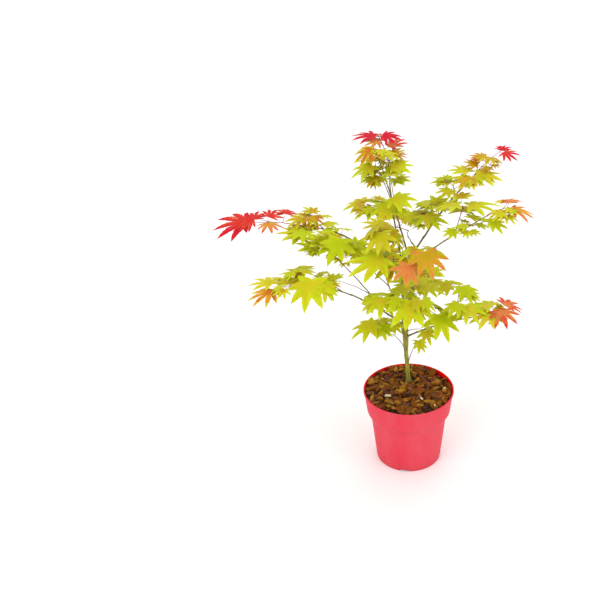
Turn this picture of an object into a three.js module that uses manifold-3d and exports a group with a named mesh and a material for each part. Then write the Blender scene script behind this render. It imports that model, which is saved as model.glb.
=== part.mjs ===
// A young grafted maple with lobed leaves in its autumn tints, in a plain round nursery pot.
// Millimetres, +Z up, origin in the middle of the pot's flat underside, the front of the crown towards -Y.
import * as THREE from "three";
import { mergeVertices } from "three/addons/utils/BufferGeometryUtils.js";
import Module from "manifold-3d";

const wasm = await Module();
wasm.setup();

// Driving sizes of the pot
const RIM_RADIUS = 95;
const POT_HEIGHT = 168;
const FOOT_RADIUS = 68;
const WAIST_RADIUS = 78.8;
const WAIST_HEIGHT = 97;
const SHOULDER_RADIUS = 88.2;
const SHOULDER_HEIGHT = 120;
const LIP = 1.2;
const WALL = 2.6;
const FLOOR = 7;
const FOOT_BEVEL = 1.5;
const LIP_BAND = { below: 5, from: 3.6, bevel: 1.2 };
// Where the step in the wall begins and ends to curve, as shares of its width and of its height, and how much
// higher the inside of the wall steps.
const STEP_CURVE = [[0.22, 0.28], [0.82, 0.76]];
const STEP_INSIDE = 0.8;
const FOOT_GAP = { count: 4, first: 263, width: 22, height: 4.6, inner: 42 };
const DRAIN = { radius: 5, from: 50, sides: 10 };
const CUTTER_OVER = 10;
const POT_SIDES = 32;
const CLEAR = 0.3;

// Driving sizes of the fill
const SOIL_TOP = 148;
const GROUND = 166;
const TRUNK_FOOT = [0, 32];
const FLAT_ROUND_TRUNK = 14;
const EDGE_FALL = 1.5;
const BACK_FALL = { heading: 50, depth: 9, narrow: 6, steep: 3 };
const CHIPS = { count: 20, length: [13, 22], width: [7, 11], thick: [3.5, 5.5], reach: 76 };
const CHIP_LIE = { turnStep: 137.5, tilt: 14, pitch: 16, lift: 0.6, offTrunk: 9 };
const BED_RINGS = [26, 50, 72];

// Trunk stations: height, centre x, centre y, radius. It flares at the ground, swells at the graft and
// leans to its fork.
const TRUNK = [
  [GROUND + CLEAR, 0, 32, 6.6],
  [171, -0.1, 32, 5.2],
  [184, -1.2, 31.6, 4.4],
  [240, -5, 30, 4.5],
  [263, -5.6, 28.4, 5.7],
  [288, -6.4, 27, 6],
  [304, -8.6, 26, 4.9],
  [320, -10, 24.6, 3.3],
  [375, -11, 20, 2.8],
  [412, -13, 16, 3.0],
  [444, -9, 12, 2.6],
  [462, -3, 10, 2.5],
  [476, 1, 8, 2.7],
];

// Limbs: name, the one each leaves and how far up that, where it ends, how far its middle bows up and to its
// left, and its radius at both ends.
const LIMBS = [
  ["leader", "trunk", 1, [-50, -10, 684], 0, 6, [2.3, 1.2]],
  ["bough_upright", "trunk", 0.835, [-39, 28, 684], 10, 11, [2.2, 1.2]],
  ["bough_right_top", "trunk", 0.945, [145, 82, 638], 18, 0, [2.5, 1.3]],
  ["bough_right_middle", "trunk", 0.895, [146, -60, 606], 4, -4, [2, 1.1]],
  ["bough_right_low", "trunk", 0.385, [138, -60, 385], 10, -8, [2.2, 1.1]],
  ["bough_left_top", "trunk", 0.785, [-212, 78, 513], 26, -4, [2.3, 1.2]],
  ["bough_left_low", "trunk", 0.525, [-172, -60, 455], 17, 8, [2.5, 1.2]],
  ["branch_left_low", "bough_left_low", 0.24, [-145, 14, 478], 4, 0, [1.7, 1]],
  ["bough_back_left", "trunk", 0.6, [-54, 128, 390], 8, 6, [2, 1.1]],
  ["bough_back_right", "trunk", 0.66, [44, 130, 366], 14, -6, [2, 1.1]],
  ["bough_back_top", "bough_right_top", 0.12, [0, 104, 488], 4, 8, [1.7, 1]],
  ["bough_front", "trunk", 0.58, [6, -66, 428], 8, 6, [1.9, 1.1]],
  ["dead_twig_low", "trunk", 0.25, [-33, -14, 313], 5, 3, [1, 0.7]],
  ["dead_twig_fork", "trunk", 0.955, [-24, 4, 524], 2, -2, [1.1, 0.7]],
];
const BOUGH_FACET = 28;

// Driving sizes of the sprays
const STEM_RADIUS = [1.5, 0.95];
const SPUR_RADIUS = 1.05;
const PETIOLE_RADIUS = 0.8;
const NODE_STEP = 0.3;
const STEM_BOW = 0.05;
const STEM_FACET = 24;
const LEAF_THICK = 1.7;
const LEAF_CUP = 0.16;
const STALK_END = 0.3;
const JOINED = 0.47;
const LEAF_BASE = 0.1;
// A leaf's lobes on each side: turn from the midrib in degrees, and length as a share of the middle one.
const LOBES = [[0, 1], [35, 0.94], [72, 0.8], [114, 0.54]];
const TURN_JITTER = 10;
const TILT_JITTER = 9;
const SIZE_JITTER = 0.1;
// Turns and lifts that a leaf tries in order, in degrees, until it fits.
const TRIES = [
  [0, 0], [0, 18], [0, -18], [0, 34], [22, 0], [-22, 0],
  [22, 26], [-22, 26], [44, 12], [-44, 12], [66, 0], [-66, 0],
];
// Air kept round leaves and stalks, the room that a spray keeps to, how near leaves must stand to be able to
// touch, as a share of both blades, and how low leaves may hang over the pot.
const LAYER = 3;
const OWN_LAYER = 1.6;
const EDGE = 2;
const AIR = 2;
const OWN_SPACING = 0.36;
const ROOM = { reach: 1.25, spare: 6 };
const NEAR = 1.1;
const OVER_POT = 8;
const BALL_STEP = 6;
const SAMPLES = [0.3, 0.55, 0.8, 1];
const STALK_SAMPLES = [0.3, 0.5, 0.7, 0.85, 1];
const FIRST_SEED = 20011;
const SEED_STEP = 977;

// Sprays of leaves: name, the limb each grows from and how far along it, where its stem ends, the headings of
// its leaves from the tip inwards (0 is +X, 90 the back), length of leaf stalk, the middle lobe of its first
// leaf and of the others, and how far stalks rise and leaves droop in degrees.
const SPRAYS = [
  ["left_far", "bough_left_top", 1, [-318, 92, 514], [190, 128, 288, 76], 12, [78, 45], 10, 4],
  ["left_over", "bough_left_top", 0.8, [-202, 92, 529], [225, 297, 145, 95], 18, [38, 34], 6, 0],
  ["left_under", "bough_left_top", 0.88, [-197, 48, 514], [186, 215, 130], 18, [52, 45], 4, 0],
  ["left_middle", "branch_left_low", 1, [-166, 20, 492], [184, 240, 300, 130], 18, [48, 38], 4, -22],
  ["left_inner", "bough_left_top", 0.45, [-132, 16, 508], [249, 177, 317], 14, [62, 46], 0, 22],
  ["left_back", "bough_back_left", 0.55, [-156, 112, 454], [110, 190, 60], 24, [51, 44], 4, -18],
  ["low_left_far", "bough_left_low", 1, [-256, -78, 460], [146, 222, 100], 16, [57, 59], 6, 8],
  ["low_left_over", "bough_left_low", 0.76, [-196, -24, 462], [184, 150, 230], 16, [44, 35], 4, 4],
  ["low_left_front", "bough_left_low", 0.88, [-184, -84, 476], [262, 195, 330], 12, [60, 38], 4, 32],
  ["low_left_thin", "branch_left_low", 0.3, [-138, 6, 426], [184, 150], 14, [36, 30], 2, 13],
  ["low_left_inner", "bough_left_low", 0.34, [-52, -56, 428], [273, 205, 95, 5], 14, [42, 36], 2, 14],
  ["heart_front", "bough_front", 1, [5, -86, 436], [268, 190, 330], 12, [60, 47], 0, 32],
  ["heart_right", "bough_front", 0.55, [54, -58, 388], [300, 10, 60], 14, [56, 38], 2, 28],
  ["heart_back", "trunk", 0.68, [14, -24, 432], [350, 190, 60], 20, [43, 45], 4, 2],
  ["short_left", "trunk", 0.405, [-59, -46, 358], [212, 284, 162], 14, [52, 38], 2, 10],
  ["short_right", "trunk", 0.435, [30, -26, 332], [300, 20], 10, [32, 26], 0, 36],
  ["shoot_low", "trunk", 0.2, [16, -14, 294], [320, 60], 6, [27, 24], 2, 40],
  ["right_inner", "bough_right_low", 0.5, [104, -58, 410], [310, 250, 20], 14, [48, 40], 4, 10],
  ["right_far", "bough_right_low", 1, [178, -62, 400], [50, 318, 258, 160], 14, [50, 46], 12, 12],
  ["right_back", "bough_right_low", 0.72, [101, 0, 416], [298, 178, 38], 18, [48, 36], 4, 6],
  ["crown_left", "trunk", 0.89, [-38, -60, 514], [214, 150, 262, 182], 16, [65, 49], 4, 12],
  ["crown_front", "trunk", 0.94, [2, -100, 526], [262, 330, 200], 12, [42, 36], 2, 32],
  ["crown_right", "bough_right_middle", 0.16, [26, -78, 538], [294, 38, 218, 348], 14, [55, 46], 2, 16],
  ["over_fork", "bough_right_top", 0.3, [26, 30, 564], [310, 25, 165, 75], 14, [48, 40], 4, 0],
  ["right_top_low", "bough_right_top", 0.42, [54, 50, 574], [80, 340, 190], 12, [40, 34], 4, -4],
  ["right_top_over", "bough_right_top", 0.62, [88, 84, 602], [150, 60, 230], 12, [40, 32], 4, -4],
  ["right_top_under", "bough_right_top", 0.76, [124, 54, 634], [346, 268, 140, 60], 14, [50, 46], 8, 0],
  ["right_top_far", "bough_right_top", 0.84, [176, 98, 664], [323, 68, 168, 258, 174], 12, [36, 32], 6, -2],
  ["right_middle_low", "bough_right_middle", 0.5, [140, -84, 606], [350, 60, 190, 20, 212], 14, [34, 28], 4, 0],
  ["right_middle_over", "bough_right_middle", 0.62, [104, -28, 608], [10, 180, 90], 14, [62, 52], 4, 0],
  ["right_middle_far", "bough_right_middle", 1, [181, -70, 628], [340, 75, 250], 12, [48, 34], 4, 8],
  ["upright_low", "bough_upright", 0.52, [-78, 24, 588], [158, 88, 218], 12, [52, 44], 4, 4],
  ["upright_middle", "bough_upright", 0.6, [-62, 8, 680], [208, 132, 237, 172], 12, [48, 44], 4, 2],
  ["upright_high", "bough_upright", 0.92, [-34, 12, 696], [84, 6, 324], 10, [30, 32], 4, 0],
  ["upright_top", "bough_upright", 1, [-56, 34, 727], [168, 350, 120, 200, 60], 12, [43, 38], 4, -4],
  ["leader_top", "leader", 1, [-64, -20, 728], [243, 177, 97, 17], 10, [42, 44], 4, 17],
  ["leader_middle", "leader", 0.55, [-36, -24, 684], [5, 300, 340, 60], 12, [40, 34], 24, -16],
  ["leader_low", "leader", 0.4, [-34, -30, 630], [3, 83, 228], 12, [45, 40], 2, 10],
  ["upright_inner", "bough_upright", 0.3, [-52, -26, 556], [262, 190, 120, 330], 12, [48, 42], 2, 33],
  ["back_left", "bough_back_left", 1, [-60, 150, 380], [112, 200, 60, 160], 24, [50, 44], 4, -18],
  ["back_right", "bough_back_right", 1, [26, 150, 336], [70, 0, 140, 200], 24, [55, 48], 24, -12],
  ["back_top", "bough_back_top", 1, [-35, 132, 482], [100, 160, 40, 210], 22, [48, 42], 24, -14],
];

// The sprays of each autumn tint. All others are lime.
const TINTED = {
  crimson: ["left_far", "right_top_far", "upright_top"],
  coral: ["right_far", "right_middle_far"],
  ember: ["low_left_far", "upright_high", "leader_top"],
  amber: ["left_over", "crown_front", "crown_right"],
  gold: ["right_top_under", "upright_inner", "back_top"],
  olive: [
    "left_back", "low_left_over", "crown_left", "over_fork",
    "right_middle_over", "upright_low", "upright_middle", "back_left",
  ],
};

const TINTS = {
  crimson: 0xcf2033,
  coral: 0xe9603f,
  ember: 0xc8742c,
  amber: 0xdf9440,
  gold: 0xd6bf36,
  olive: 0xa3a52c,
  lime: 0xaed02a,
};

const degrees = (angle) => (angle * Math.PI) / 180;
const mix = (a, b, share) => a + (b - a) * share;
const vector = (p) => new THREE.Vector3(p[0], p[1], p[2]);

// The same plain generator serves every seeded choice.
function dice(seed) {
  let state = seed;
  return () => {
    state = (state * 16807) % 2147483647;
    return state / 2147483647;
  };
}

// Solids

// A geometry as a solid with its faces turned outwards.
function solid(geometry) {
  const bare = geometry.clone();
  bare.deleteAttribute("normal");
  bare.deleteAttribute("uv");
  const merged = mergeVertices(bare, 1e-4);
  const places = merged.attributes.position.array;
  const corners = Array.from(merged.index.array);
  const kept = [];
  let volume = 0;
  for (let i = 0; i < corners.length; i += 3) {
    const [a, b, c] = corners.slice(i, i + 3);
    if (a === b || b === c || c === a) continue;
    kept.push(a, b, c);
    const [p, q, r] = [a, b, c].map((k) => new THREE.Vector3().fromArray(places, 3 * k));
    volume += p.dot(q.cross(r));
  }
  if (volume < 0) kept.reverse();
  const mesh = new wasm.Mesh({
    numProp: 3,
    vertProperties: new Float32Array(places),
    triVerts: new Uint32Array(kept),
  });
  return new wasm.Manifold(mesh);
}

function geometryOf(body) {
  const mesh = body.getMesh();
  const geometry = new THREE.BufferGeometry();
  geometry.setAttribute("position", new THREE.BufferAttribute(new Float32Array(mesh.vertProperties), 3));
  geometry.setIndex(new THREE.BufferAttribute(new Uint32Array(mesh.triVerts), 1));
  geometry.computeVertexNormals();
  return geometry;
}

const maple = new THREE.Group();
maple.name = "potted_maple";

function place(name, body, color, roughness) {
  const material = new THREE.MeshStandardMaterial({ color, roughness, metalness: 0 });
  const mesh = new THREE.Mesh(geometryOf(body), material);
  mesh.name = name;
  maple.add(mesh);
}

// A profile of radius and height turned round the upright axis.
function turned(profile) {
  const geometry = new THREE.LatheGeometry(profile.map(([r, z]) => new THREE.Vector2(r, z)), POT_SIDES);
  return geometry.rotateX(Math.PI / 2);
}

// Paths

// A path that bows up by rise and to its left by sway in its middle.
function bow(start, tip, rise, sway) {
  const run = tip.clone().sub(start);
  const flat = Math.hypot(run.x, run.y) || 1;
  return (t) => {
    const bend = 4 * t * (1 - t);
    return new THREE.Vector3(
      start.x + run.x * t - (run.y / flat) * sway * bend,
      start.y + run.y * t + (run.x / flat) * sway * bend,
      start.z + run.z * t + rise * bend,
    );
  };
}

// A smooth path through the trunk's stations.
function spline(stations) {
  const last = stations.length - 1;
  return (t) => {
    const whole = Math.min(Math.max(Math.floor(t * last), 0), last - 1);
    const f = t * last - whole;
    const ends = [-1, 0, 1, 2].map((k) => stations[Math.min(Math.max(whole + k, 0), last)]);
    const [z, x, y, r] = ends[0].map((_, k) => {
      const [a, b, c, d] = ends.map((station) => station[k]);
      return b + 0.5 * f * (c - a + f * (2 * a - 5 * b + 4 * c - d + f * (3 * (b - c) + d - a)));
    });
    return { centre: new THREE.Vector3(x, y, z), radius: r };
  };
}

function directionAt(path, t) {
  const step = 1e-3;
  return path(t + step).sub(path(t - step)).normalize();
}

// A place on a tube's own middle line, which runs straight from ring to ring.
function onTube({ path, steps }, t) {
  const ring = Math.min(Math.floor(t * steps), steps - 1);
  return path(ring / steps).lerp(path((ring + 1) / steps), t * steps - ring);
}

// A round or three-sided tapering tube along a path, longer at both ends by extra.
function tube({ path, radius, steps, sides }, grow = 0, extra = 0) {
  const chord = path(1).sub(path(0)).normalize();
  const across = Math.abs(chord.z) > 0.8 ? new THREE.Vector3(0, 1, 0) : new THREE.Vector3(0, 0, 1);
  const points = [];
  for (let i = 0; i <= steps; i += 1) {
    const t = i / steps;
    const along = directionAt(path, t);
    const side = along.clone().cross(across).normalize();
    const other = side.clone().cross(along);
    const middle = path(t);
    if (i === 0) middle.addScaledVector(along, -extra);
    if (i === steps) middle.addScaledVector(along, extra);
    for (let k = 0; k < sides; k += 1) {
      const turn = (2 * Math.PI * k) / sides;
      const point = middle.clone().addScaledVector(side, (radius(t) + grow) * Math.cos(turn));
      points.push(point.addScaledVector(other, (radius(t) + grow) * Math.sin(turn)));
    }
  }
  const corners = [];
  for (let k = 0; k < sides; k += 1) {
    const next = (k + 1) % sides;
    for (let i = 0; i < steps; i += 1) {
      const [low, high] = [i * sides, (i + 1) * sides];
      corners.push(low + k, low + next, high + next, low + k, high + next, high + k);
    }
  }
  for (let k = 2; k < sides; k += 1) {
    const last = steps * sides;
    corners.push(0, k, k - 1, last, last + k - 1, last + k);
  }
  const geometry = new THREE.BufferGeometry().setFromPoints(points);
  geometry.setIndex(corners);
  return solid(geometry);
}

// Pot

const collarSlope = (RIM_RADIUS - LIP - SHOULDER_RADIUS) / (POT_HEIGHT - SHOULDER_HEIGHT);

// The step from the pot's waist to its shoulder, raised a little on the inside.
function step(raised) {
  const curve = [[0, 0], ...STEP_CURVE, [1, 1]];
  return curve.map(([out, up]) => [
    mix(WAIST_RADIUS, SHOULDER_RADIUS, out),
    mix(WAIST_HEIGHT, SHOULDER_HEIGHT, up) + raised,
  ]);
}

function outerProfile() {
  return [
    [FOOT_RADIUS - FOOT_BEVEL, 0],
    [FOOT_RADIUS, FOOT_BEVEL],
    ...step(0),
    [RIM_RADIUS - LIP - collarSlope * LIP_BAND.below, POT_HEIGHT - LIP_BAND.below],
    [RIM_RADIUS, POT_HEIGHT - LIP_BAND.from],
    [RIM_RADIUS, POT_HEIGHT - LIP_BAND.bevel],
    [RIM_RADIUS - LIP_BAND.bevel, POT_HEIGHT],
  ];
}

// The pot's inside radius at stations up its wall.
const INSIDE = [
  [FOOT_RADIUS, 0],
  ...step(STEP_INSIDE),
  [RIM_RADIUS - LIP, POT_HEIGHT],
].map(([r, z]) => [r - WALL, z]);

function insideAt(height) {
  const k = Math.max(INSIDE.findIndex(([, z]) => z >= height), 1);
  const [[near, low], [far, high]] = [INSIDE[k - 1], INSIDE[k]];
  return mix(near, far, (height - low) / (high - low));
}

// The inside wall between two heights, top down, set in by a gap.
function innerProfile(top, bottom, gap) {
  const between = INSIDE.filter(([, z]) => z > bottom && z < top).reverse();
  const wall = [[insideAt(top), top], ...between, [insideAt(bottom), bottom]];
  return wall.map(([r, z]) => [r - gap, z]);
}

function pot() {
  const outline = [[0, 0], ...outerProfile(), ...innerProfile(POT_HEIGHT, FLOOR, 0), [0, FLOOR]];
  let body = solid(turned(outline));
  for (let i = 0; i < FOOT_GAP.count; i += 1) {
    const heading = degrees(FOOT_GAP.first + (360 / FOOT_GAP.count) * i);
    const length = FOOT_RADIUS + CUTTER_OVER - FOOT_GAP.inner;
    const channel = new THREE.BoxGeometry(length, FOOT_GAP.width, 2 * FOOT_GAP.height);
    channel.translate(FOOT_GAP.inner + length / 2, 0, 0);
    const hole = new THREE.CylinderGeometry(DRAIN.radius, DRAIN.radius, 3 * FLOOR, DRAIN.sides);
    hole.rotateX(Math.PI / 2);
    hole.translate(DRAIN.from + DRAIN.radius, 0, FLOOR);
    body = body.subtract(solid(channel.rotateZ(heading)));
    body = body.subtract(solid(hole.rotateZ(heading)));
  }
  return body;
}

// Soil and bark

function soil() {
  const wall = innerProfile(SOIL_TOP, FLOOR + CLEAR, CLEAR);
  return solid(turned([[0, SOIL_TOP], ...wall, [0, FLOOR + CLEAR]]));
}

// Height of the bark at a place: level round the trunk, falling to the wall, most at the back right.
function groundAt(x, y) {
  const out = Math.max(Math.hypot(x - TRUNK_FOOT[0], y - TRUNK_FOOT[1]) - FLAT_ROUND_TRUNK, 0) / RIM_RADIUS;
  const turn = Math.atan2(y, x) - degrees(BACK_FALL.heading);
  const facing = Math.max(Math.cos(turn), 0) ** BACK_FALL.narrow;
  const fall = BACK_FALL.depth * facing * (Math.hypot(x, y) / RIM_RADIUS) ** BACK_FALL.steep;
  return GROUND - EDGE_FALL * out * out - fall;
}

function bark() {
  const bottom = SOIL_TOP + CLEAR;
  const rings = BED_RINGS.map((r) => [r, GROUND]);
  const wall = innerProfile(GROUND, bottom, CLEAR);
  const bed = turned([[0, GROUND], ...rings, ...wall, [0, bottom]]);
  const spot = bed.attributes.position;
  for (let i = 0; i < spot.count; i += 1) {
    if (spot.getZ(i) < bottom + 1) continue;
    const [x, y] = [spot.getX(i), spot.getY(i)];
    const z = groundAt(x, y);
    const squeeze = Math.min((insideAt(z) - CLEAR) / (Math.hypot(x, y) || 1), 1);
    spot.setXYZ(i, x * squeeze, y * squeeze, z);
  }
  let body = solid(bed);
  const roll = dice(FIRST_SEED);
  const turnStep = degrees(CHIP_LIE.turnStep);
  for (let i = 0; i < CHIPS.count; i += 1) {
    const out = CHIPS.reach * Math.sqrt((i + 0.5) / CHIPS.count);
    const x = out * Math.cos(i * turnStep);
    const y = out * Math.sin(i * turnStep);
    const ranges = [CHIPS.length, CHIPS.width, CHIPS.thick];
    const [length, width, thick] = ranges.map(([least, most]) => mix(least, most, roll()));
    const chip = new THREE.BoxGeometry(length, width, thick);
    chip.rotateX(degrees(mix(-CHIP_LIE.tilt, CHIP_LIE.tilt, roll())));
    chip.rotateY(degrees(mix(-CHIP_LIE.pitch, CHIP_LIE.pitch, roll())));
    chip.rotateZ(degrees(mix(0, 180, roll())));
    chip.translate(x, y, groundAt(x, y) + CHIP_LIE.lift);
    const fromTrunk = Math.hypot(x - TRUNK_FOOT[0], y - TRUNK_FOOT[1]);
    if (fromTrunk < length / 2 + CHIP_LIE.offTrunk) continue;
    body = body.add(solid(chip));
  }
  return body;
}

// Limbs

const limbs = {};
// What already stands: limbs, stems and stalks as rows of balls, and leaves.
const balls = [];
const leavesSet = [];

function keepClear(owner, path, radius) {
  const pieces = Math.ceil(path(0).distanceTo(path(1)) / BALL_STEP);
  for (let i = 0; i <= pieces; i += 1) {
    const t = i / pieces;
    balls.push({ owner, place: path(t), radius: radius(t) });
  }
}

function growLimbs() {
  const trunkAt = spline(TRUNK);
  limbs.trunk = {
    path: (t) => trunkAt(t).centre,
    radius: (t) => trunkAt(t).radius,
    steps: TRUNK.length - 1,
    sides: 8,
  };
  for (const [name, from, at, tip, rise, sway, radii] of LIMBS) {
    const parent = limbs[from];
    const start = parent.path(at);
    if (at === 1) start.addScaledVector(directionAt(parent.path, 1), CLEAR);
    const end = vector(tip);
    limbs[name] = {
      from,
      at,
      path: bow(start, end, rise, sway),
      radius: (t) => mix(radii[0], radii[1], t),
      steps: Math.max(3, Math.round(start.distanceTo(end) / BOUGH_FACET)),
      sides: name.startsWith("dead_twig") ? 3 : 5,
    };
  }
  for (const [name, limb] of Object.entries(limbs)) keepClear(name, limb.path, limb.radius);
}

// A limb or spray, cut back so that it meets what carries it with a small gap.
function seated(body, from) {
  const pieces = body.subtract(tube(limbs[from], CLEAR, CLEAR)).decompose();
  return pieces.reduce((most, piece) => (piece.volume() > most.volume() ? piece : most));
}

// Sprays

function heading(turn, rise) {
  const [a, b] = [degrees(turn), degrees(rise)];
  return new THREE.Vector3(Math.cos(b) * Math.cos(a), Math.cos(b) * Math.sin(a), Math.sin(b));
}

// A leaf's place: its middle, and the directions of its midrib, left side and upper face.
function leafFrame(middle, turn, droop, roll) {
  const forward = heading(turn, -droop);
  const level = heading(turn + 90, 0);
  const face = forward.clone().cross(level);
  const tilt = degrees(roll);
  const left = level.clone().multiplyScalar(Math.cos(tilt)).addScaledVector(face, Math.sin(tilt));
  return { middle, forward, left, face: forward.clone().cross(left) };
}

function onLeaf(frame, blade, turn, share) {
  const reach = share * blade;
  const a = degrees(turn);
  return frame.middle
    .clone()
    .addScaledVector(frame.forward, reach * Math.cos(a))
    .addScaledVector(frame.left, reach * Math.sin(a))
    .addScaledVector(frame.face, -LEAF_CUP * share * reach);
}

const RIGHT_LOBES = LOBES.slice(1).reverse().map(([turn, share]) => [-turn, share]);
const ALL_LOBES = [...RIGHT_LOBES, ...LOBES];

// Turn and length of the rim's points: lobe tips with a notch between each two, and the leaf's base.
function rimOf() {
  const rim = [[-180, LEAF_BASE]];
  ALL_LOBES.forEach(([turn, share], k) => {
    rim.push([turn, share]);
    const next = ALL_LOBES[k + 1];
    if (next) rim.push([(turn + next[0]) / 2, (JOINED * (share + next[1])) / 2]);
  });
  return rim;
}

const RIM = rimOf();

// A lens-shaped leaf: thickest in its middle, with a thin rim.
function leaf({ frame, blade }) {
  const rim = RIM.map(([turn, share]) => onLeaf(frame, blade, turn, share));
  const top = frame.middle.clone().addScaledVector(frame.face, LEAF_THICK / 2);
  const under = frame.middle.clone().addScaledVector(frame.face, -LEAF_THICK / 2);
  const corners = [];
  rim.forEach((_, k) => {
    const [a, b] = [k + 2, ((k + 1) % rim.length) + 2];
    corners.push(0, a, b, 1, b, a);
  });
  const geometry = new THREE.BufferGeometry().setFromPoints([top, under, ...rim]);
  geometry.setIndex(corners);
  return solid(geometry);
}

// How far out a leaf's rim lies at a turn from its midrib, as a share of its blade.
function rimAt(turn) {
  for (let k = 1; k < RIM.length; k += 1) {
    const [before, near] = RIM[k - 1];
    const [after, far] = RIM[k];
    if (turn <= after) return mix(near, far, (turn - before) / (after - before));
  }
  const [before, near] = RIM[RIM.length - 1];
  return mix(near, LEAF_BASE, (turn - before) / (180 - before));
}

// Whether a ball comes within a layer of a leaf's blade.
function touches(place, radius, { frame, blade }, layer) {
  const from = place.clone().sub(frame.middle);
  const [x, y] = [from.dot(frame.forward), from.dot(frame.left)];
  const reach = Math.hypot(x, y);
  const height = from.dot(frame.face) + (LEAF_CUP * reach * reach) / blade;
  if (Math.abs(height) > layer + radius) return false;
  return reach < rimAt((Math.atan2(y, x) * 180) / Math.PI) * blade + EDGE + radius;
}

function samplesOf(frame, blade) {
  const points = [frame.middle];
  for (const [turn, share] of RIM) points.push(onLeaf(frame, blade, turn, share));
  for (const [turn, share] of ALL_LOBES) {
    for (const sample of SAMPLES) points.push(onLeaf(frame, blade, turn, share * sample));
  }
  return points;
}

function distanceTo(point, a, b) {
  const run = b.clone().sub(a);
  const from = point.clone().sub(a);
  const t = Math.min(Math.max(from.dot(run) / run.lengthSq(), 0), 1);
  return from.distanceTo(run.multiplyScalar(t));
}

// Whether a leaf on its stalk stays over the pot, in its spray's own space, and clear of all that stands.
function fits(leafing, spray, layered) {
  const { frame, blade, start, points } = leafing;
  const stalk = STALK_SAMPLES.map((share) => start.clone().lerp(frame.middle, share));
  if (points.some((p) => p.z < POT_HEIGHT + OVER_POT)) return false;
  if (points.some((p) => distanceTo(p, spray.path(0), spray.path(1)) > spray.room)) return false;
  for (const other of leavesSet) {
    const apart = other.frame.middle.distanceTo(frame.middle);
    if (apart > NEAR * (other.blade + blade)) continue;
    const own = other.owner === spray.name;
    if (own && apart < OWN_SPACING * blade) return false;
    if (own && !layered) continue;
    const layer = own ? OWN_LAYER : LAYER;
    if (points.some((p) => touches(p, 0, other, layer))) return false;
    if (other.points.some((p) => touches(p, 0, leafing, layer))) return false;
    if (stalk.some((p) => touches(p, PETIOLE_RADIUS, other, layer))) return false;
  }
  for (const ball of balls) {
    if (ball.owner === spray.name) continue;
    const far = ball.place.distanceTo(frame.middle);
    if (far > NEAR * blade + spray.stalk) continue;
    if (touches(ball.place, ball.radius, leafing, LAYER)) return false;
    if (stalk.some((p) => p.distanceTo(ball.place) < PETIOLE_RADIUS + ball.radius + AIR)) return false;
  }
  return true;
}

// A spray's bare stem, with its measures.
function growStem([name, from, at, tip, fan, stalk, blades, lift, droop], order) {
  const parent = limbs[from];
  const start = parent.path(at);
  if (at === 1) start.addScaledVector(directionAt(parent.path, 1), CLEAR);
  const end = vector(tip);
  const length = start.distanceTo(end);
  return {
    name: `leaves_${name}`,
    tint: Object.keys(TINTED).find((tint) => TINTED[tint].includes(name)) ?? "lime",
    from,
    fan,
    stalk,
    blades,
    lift,
    droop,
    path: bow(start, end, STEM_BOW * length, 0),
    radius: (t) => mix(STEM_RADIUS[0], STEM_RADIUS[1], t),
    steps: Math.max(2, Math.round(length / STEM_FACET)),
    sides: 3,
    room: stalk + ROOM.reach * blades[0] + ROOM.spare,
    seed: FIRST_SEED + SEED_STEP * (order + 1),
    leaves: [],
  };
}

const ALL_TRIES = [true, false].flatMap((layered) => TRIES.map((row) => [...row, layered]));

// One spray by the seeded rule: at the tip of its stem and at each node below it stand leaves on stalks, those
// of the nodes on short spurs. A leaf that doesn't fit is swung aside, and left out where no swing helps.
function growLeaves(spray) {
  const roll = dice(spray.seed);
  spray.fan.forEach((turn, i) => {
    const start = onTube(spray, 1 - NODE_STEP * Math.floor(i / 2));
    const toward = turn + mix(-TURN_JITTER, TURN_JITTER, roll());
    const lift = spray.lift + mix(-TILT_JITTER, TILT_JITTER, roll());
    const droop = spray.droop + mix(-TILT_JITTER, TILT_JITTER, roll());
    const twist = mix(-TILT_JITTER, TILT_JITTER, roll());
    const stalk = spray.stalk * (1 + mix(-SIZE_JITTER, SIZE_JITTER, roll()));
    const blade = spray.blades[Math.min(i, 1)] * (1 + mix(-SIZE_JITTER, SIZE_JITTER, roll()));
    for (const [swing, raise, layered] of ALL_TRIES) {
      const middle = start.clone().addScaledVector(heading(toward + swing, lift + raise), stalk);
      const frame = leafFrame(middle, toward + swing, droop, twist);
      const points = samplesOf(frame, blade);
      const leafing = { owner: spray.name, start, frame, blade, spur: i > 1, points };
      if (!fits(leafing, spray, layered)) continue;
      spray.leaves.push(leafing);
      leavesSet.push(leafing);
      keepClear(spray.name, (t) => start.clone().lerp(middle, t), () => PETIOLE_RADIUS);
      return;
    }
  });
}

// A leaf's stalk, thicker on a spur, ending well inside the leaf's base.
function stalkOf({ start, frame, blade, spur }) {
  const end = frame.middle.clone().addScaledVector(frame.forward, -STALK_END * LEAF_BASE * blade);
  const thick = spur ? SPUR_RADIUS : PETIOLE_RADIUS;
  return {
    path: (t) => start.clone().lerp(end, t),
    radius: (t) => mix(thick, PETIOLE_RADIUS, t),
    steps: 1,
    sides: 3,
  };
}

function sprayBody(spray) {
  let body = seated(tube(spray), spray.from);
  for (const leafing of spray.leaves) {
    body = body.add(tube(stalkOf(leafing)));
    body = body.add(leaf(leafing));
  }
  return body;
}

// The whole plant

place("pot", pot(), 0xef5062, 0.45);
place("potting_soil", soil(), 0x3a2618, 1);
place("bark_mulch", bark(), 0x7a4a25, 0.9);

growLimbs();
place("trunk", tube(limbs.trunk), 0x7d9a3c, 0.6);
for (const [name, from] of LIMBS) place(name, seated(tube(limbs[name]), from), 0x6f7d3a, 0.65);

const sprays = SPRAYS.map(growStem);
for (const spray of sprays) keepClear(spray.name, spray.path, spray.radius);
for (const spray of sprays) growLeaves(spray);
for (const spray of sprays) place(spray.name, sprayBody(spray), TINTS[spray.tint], 0.55);

export default maple;
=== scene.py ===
"""A young palm-leaved maple in autumn tints, potted up in a red nursery pot, as a Blender add-on."""

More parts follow.
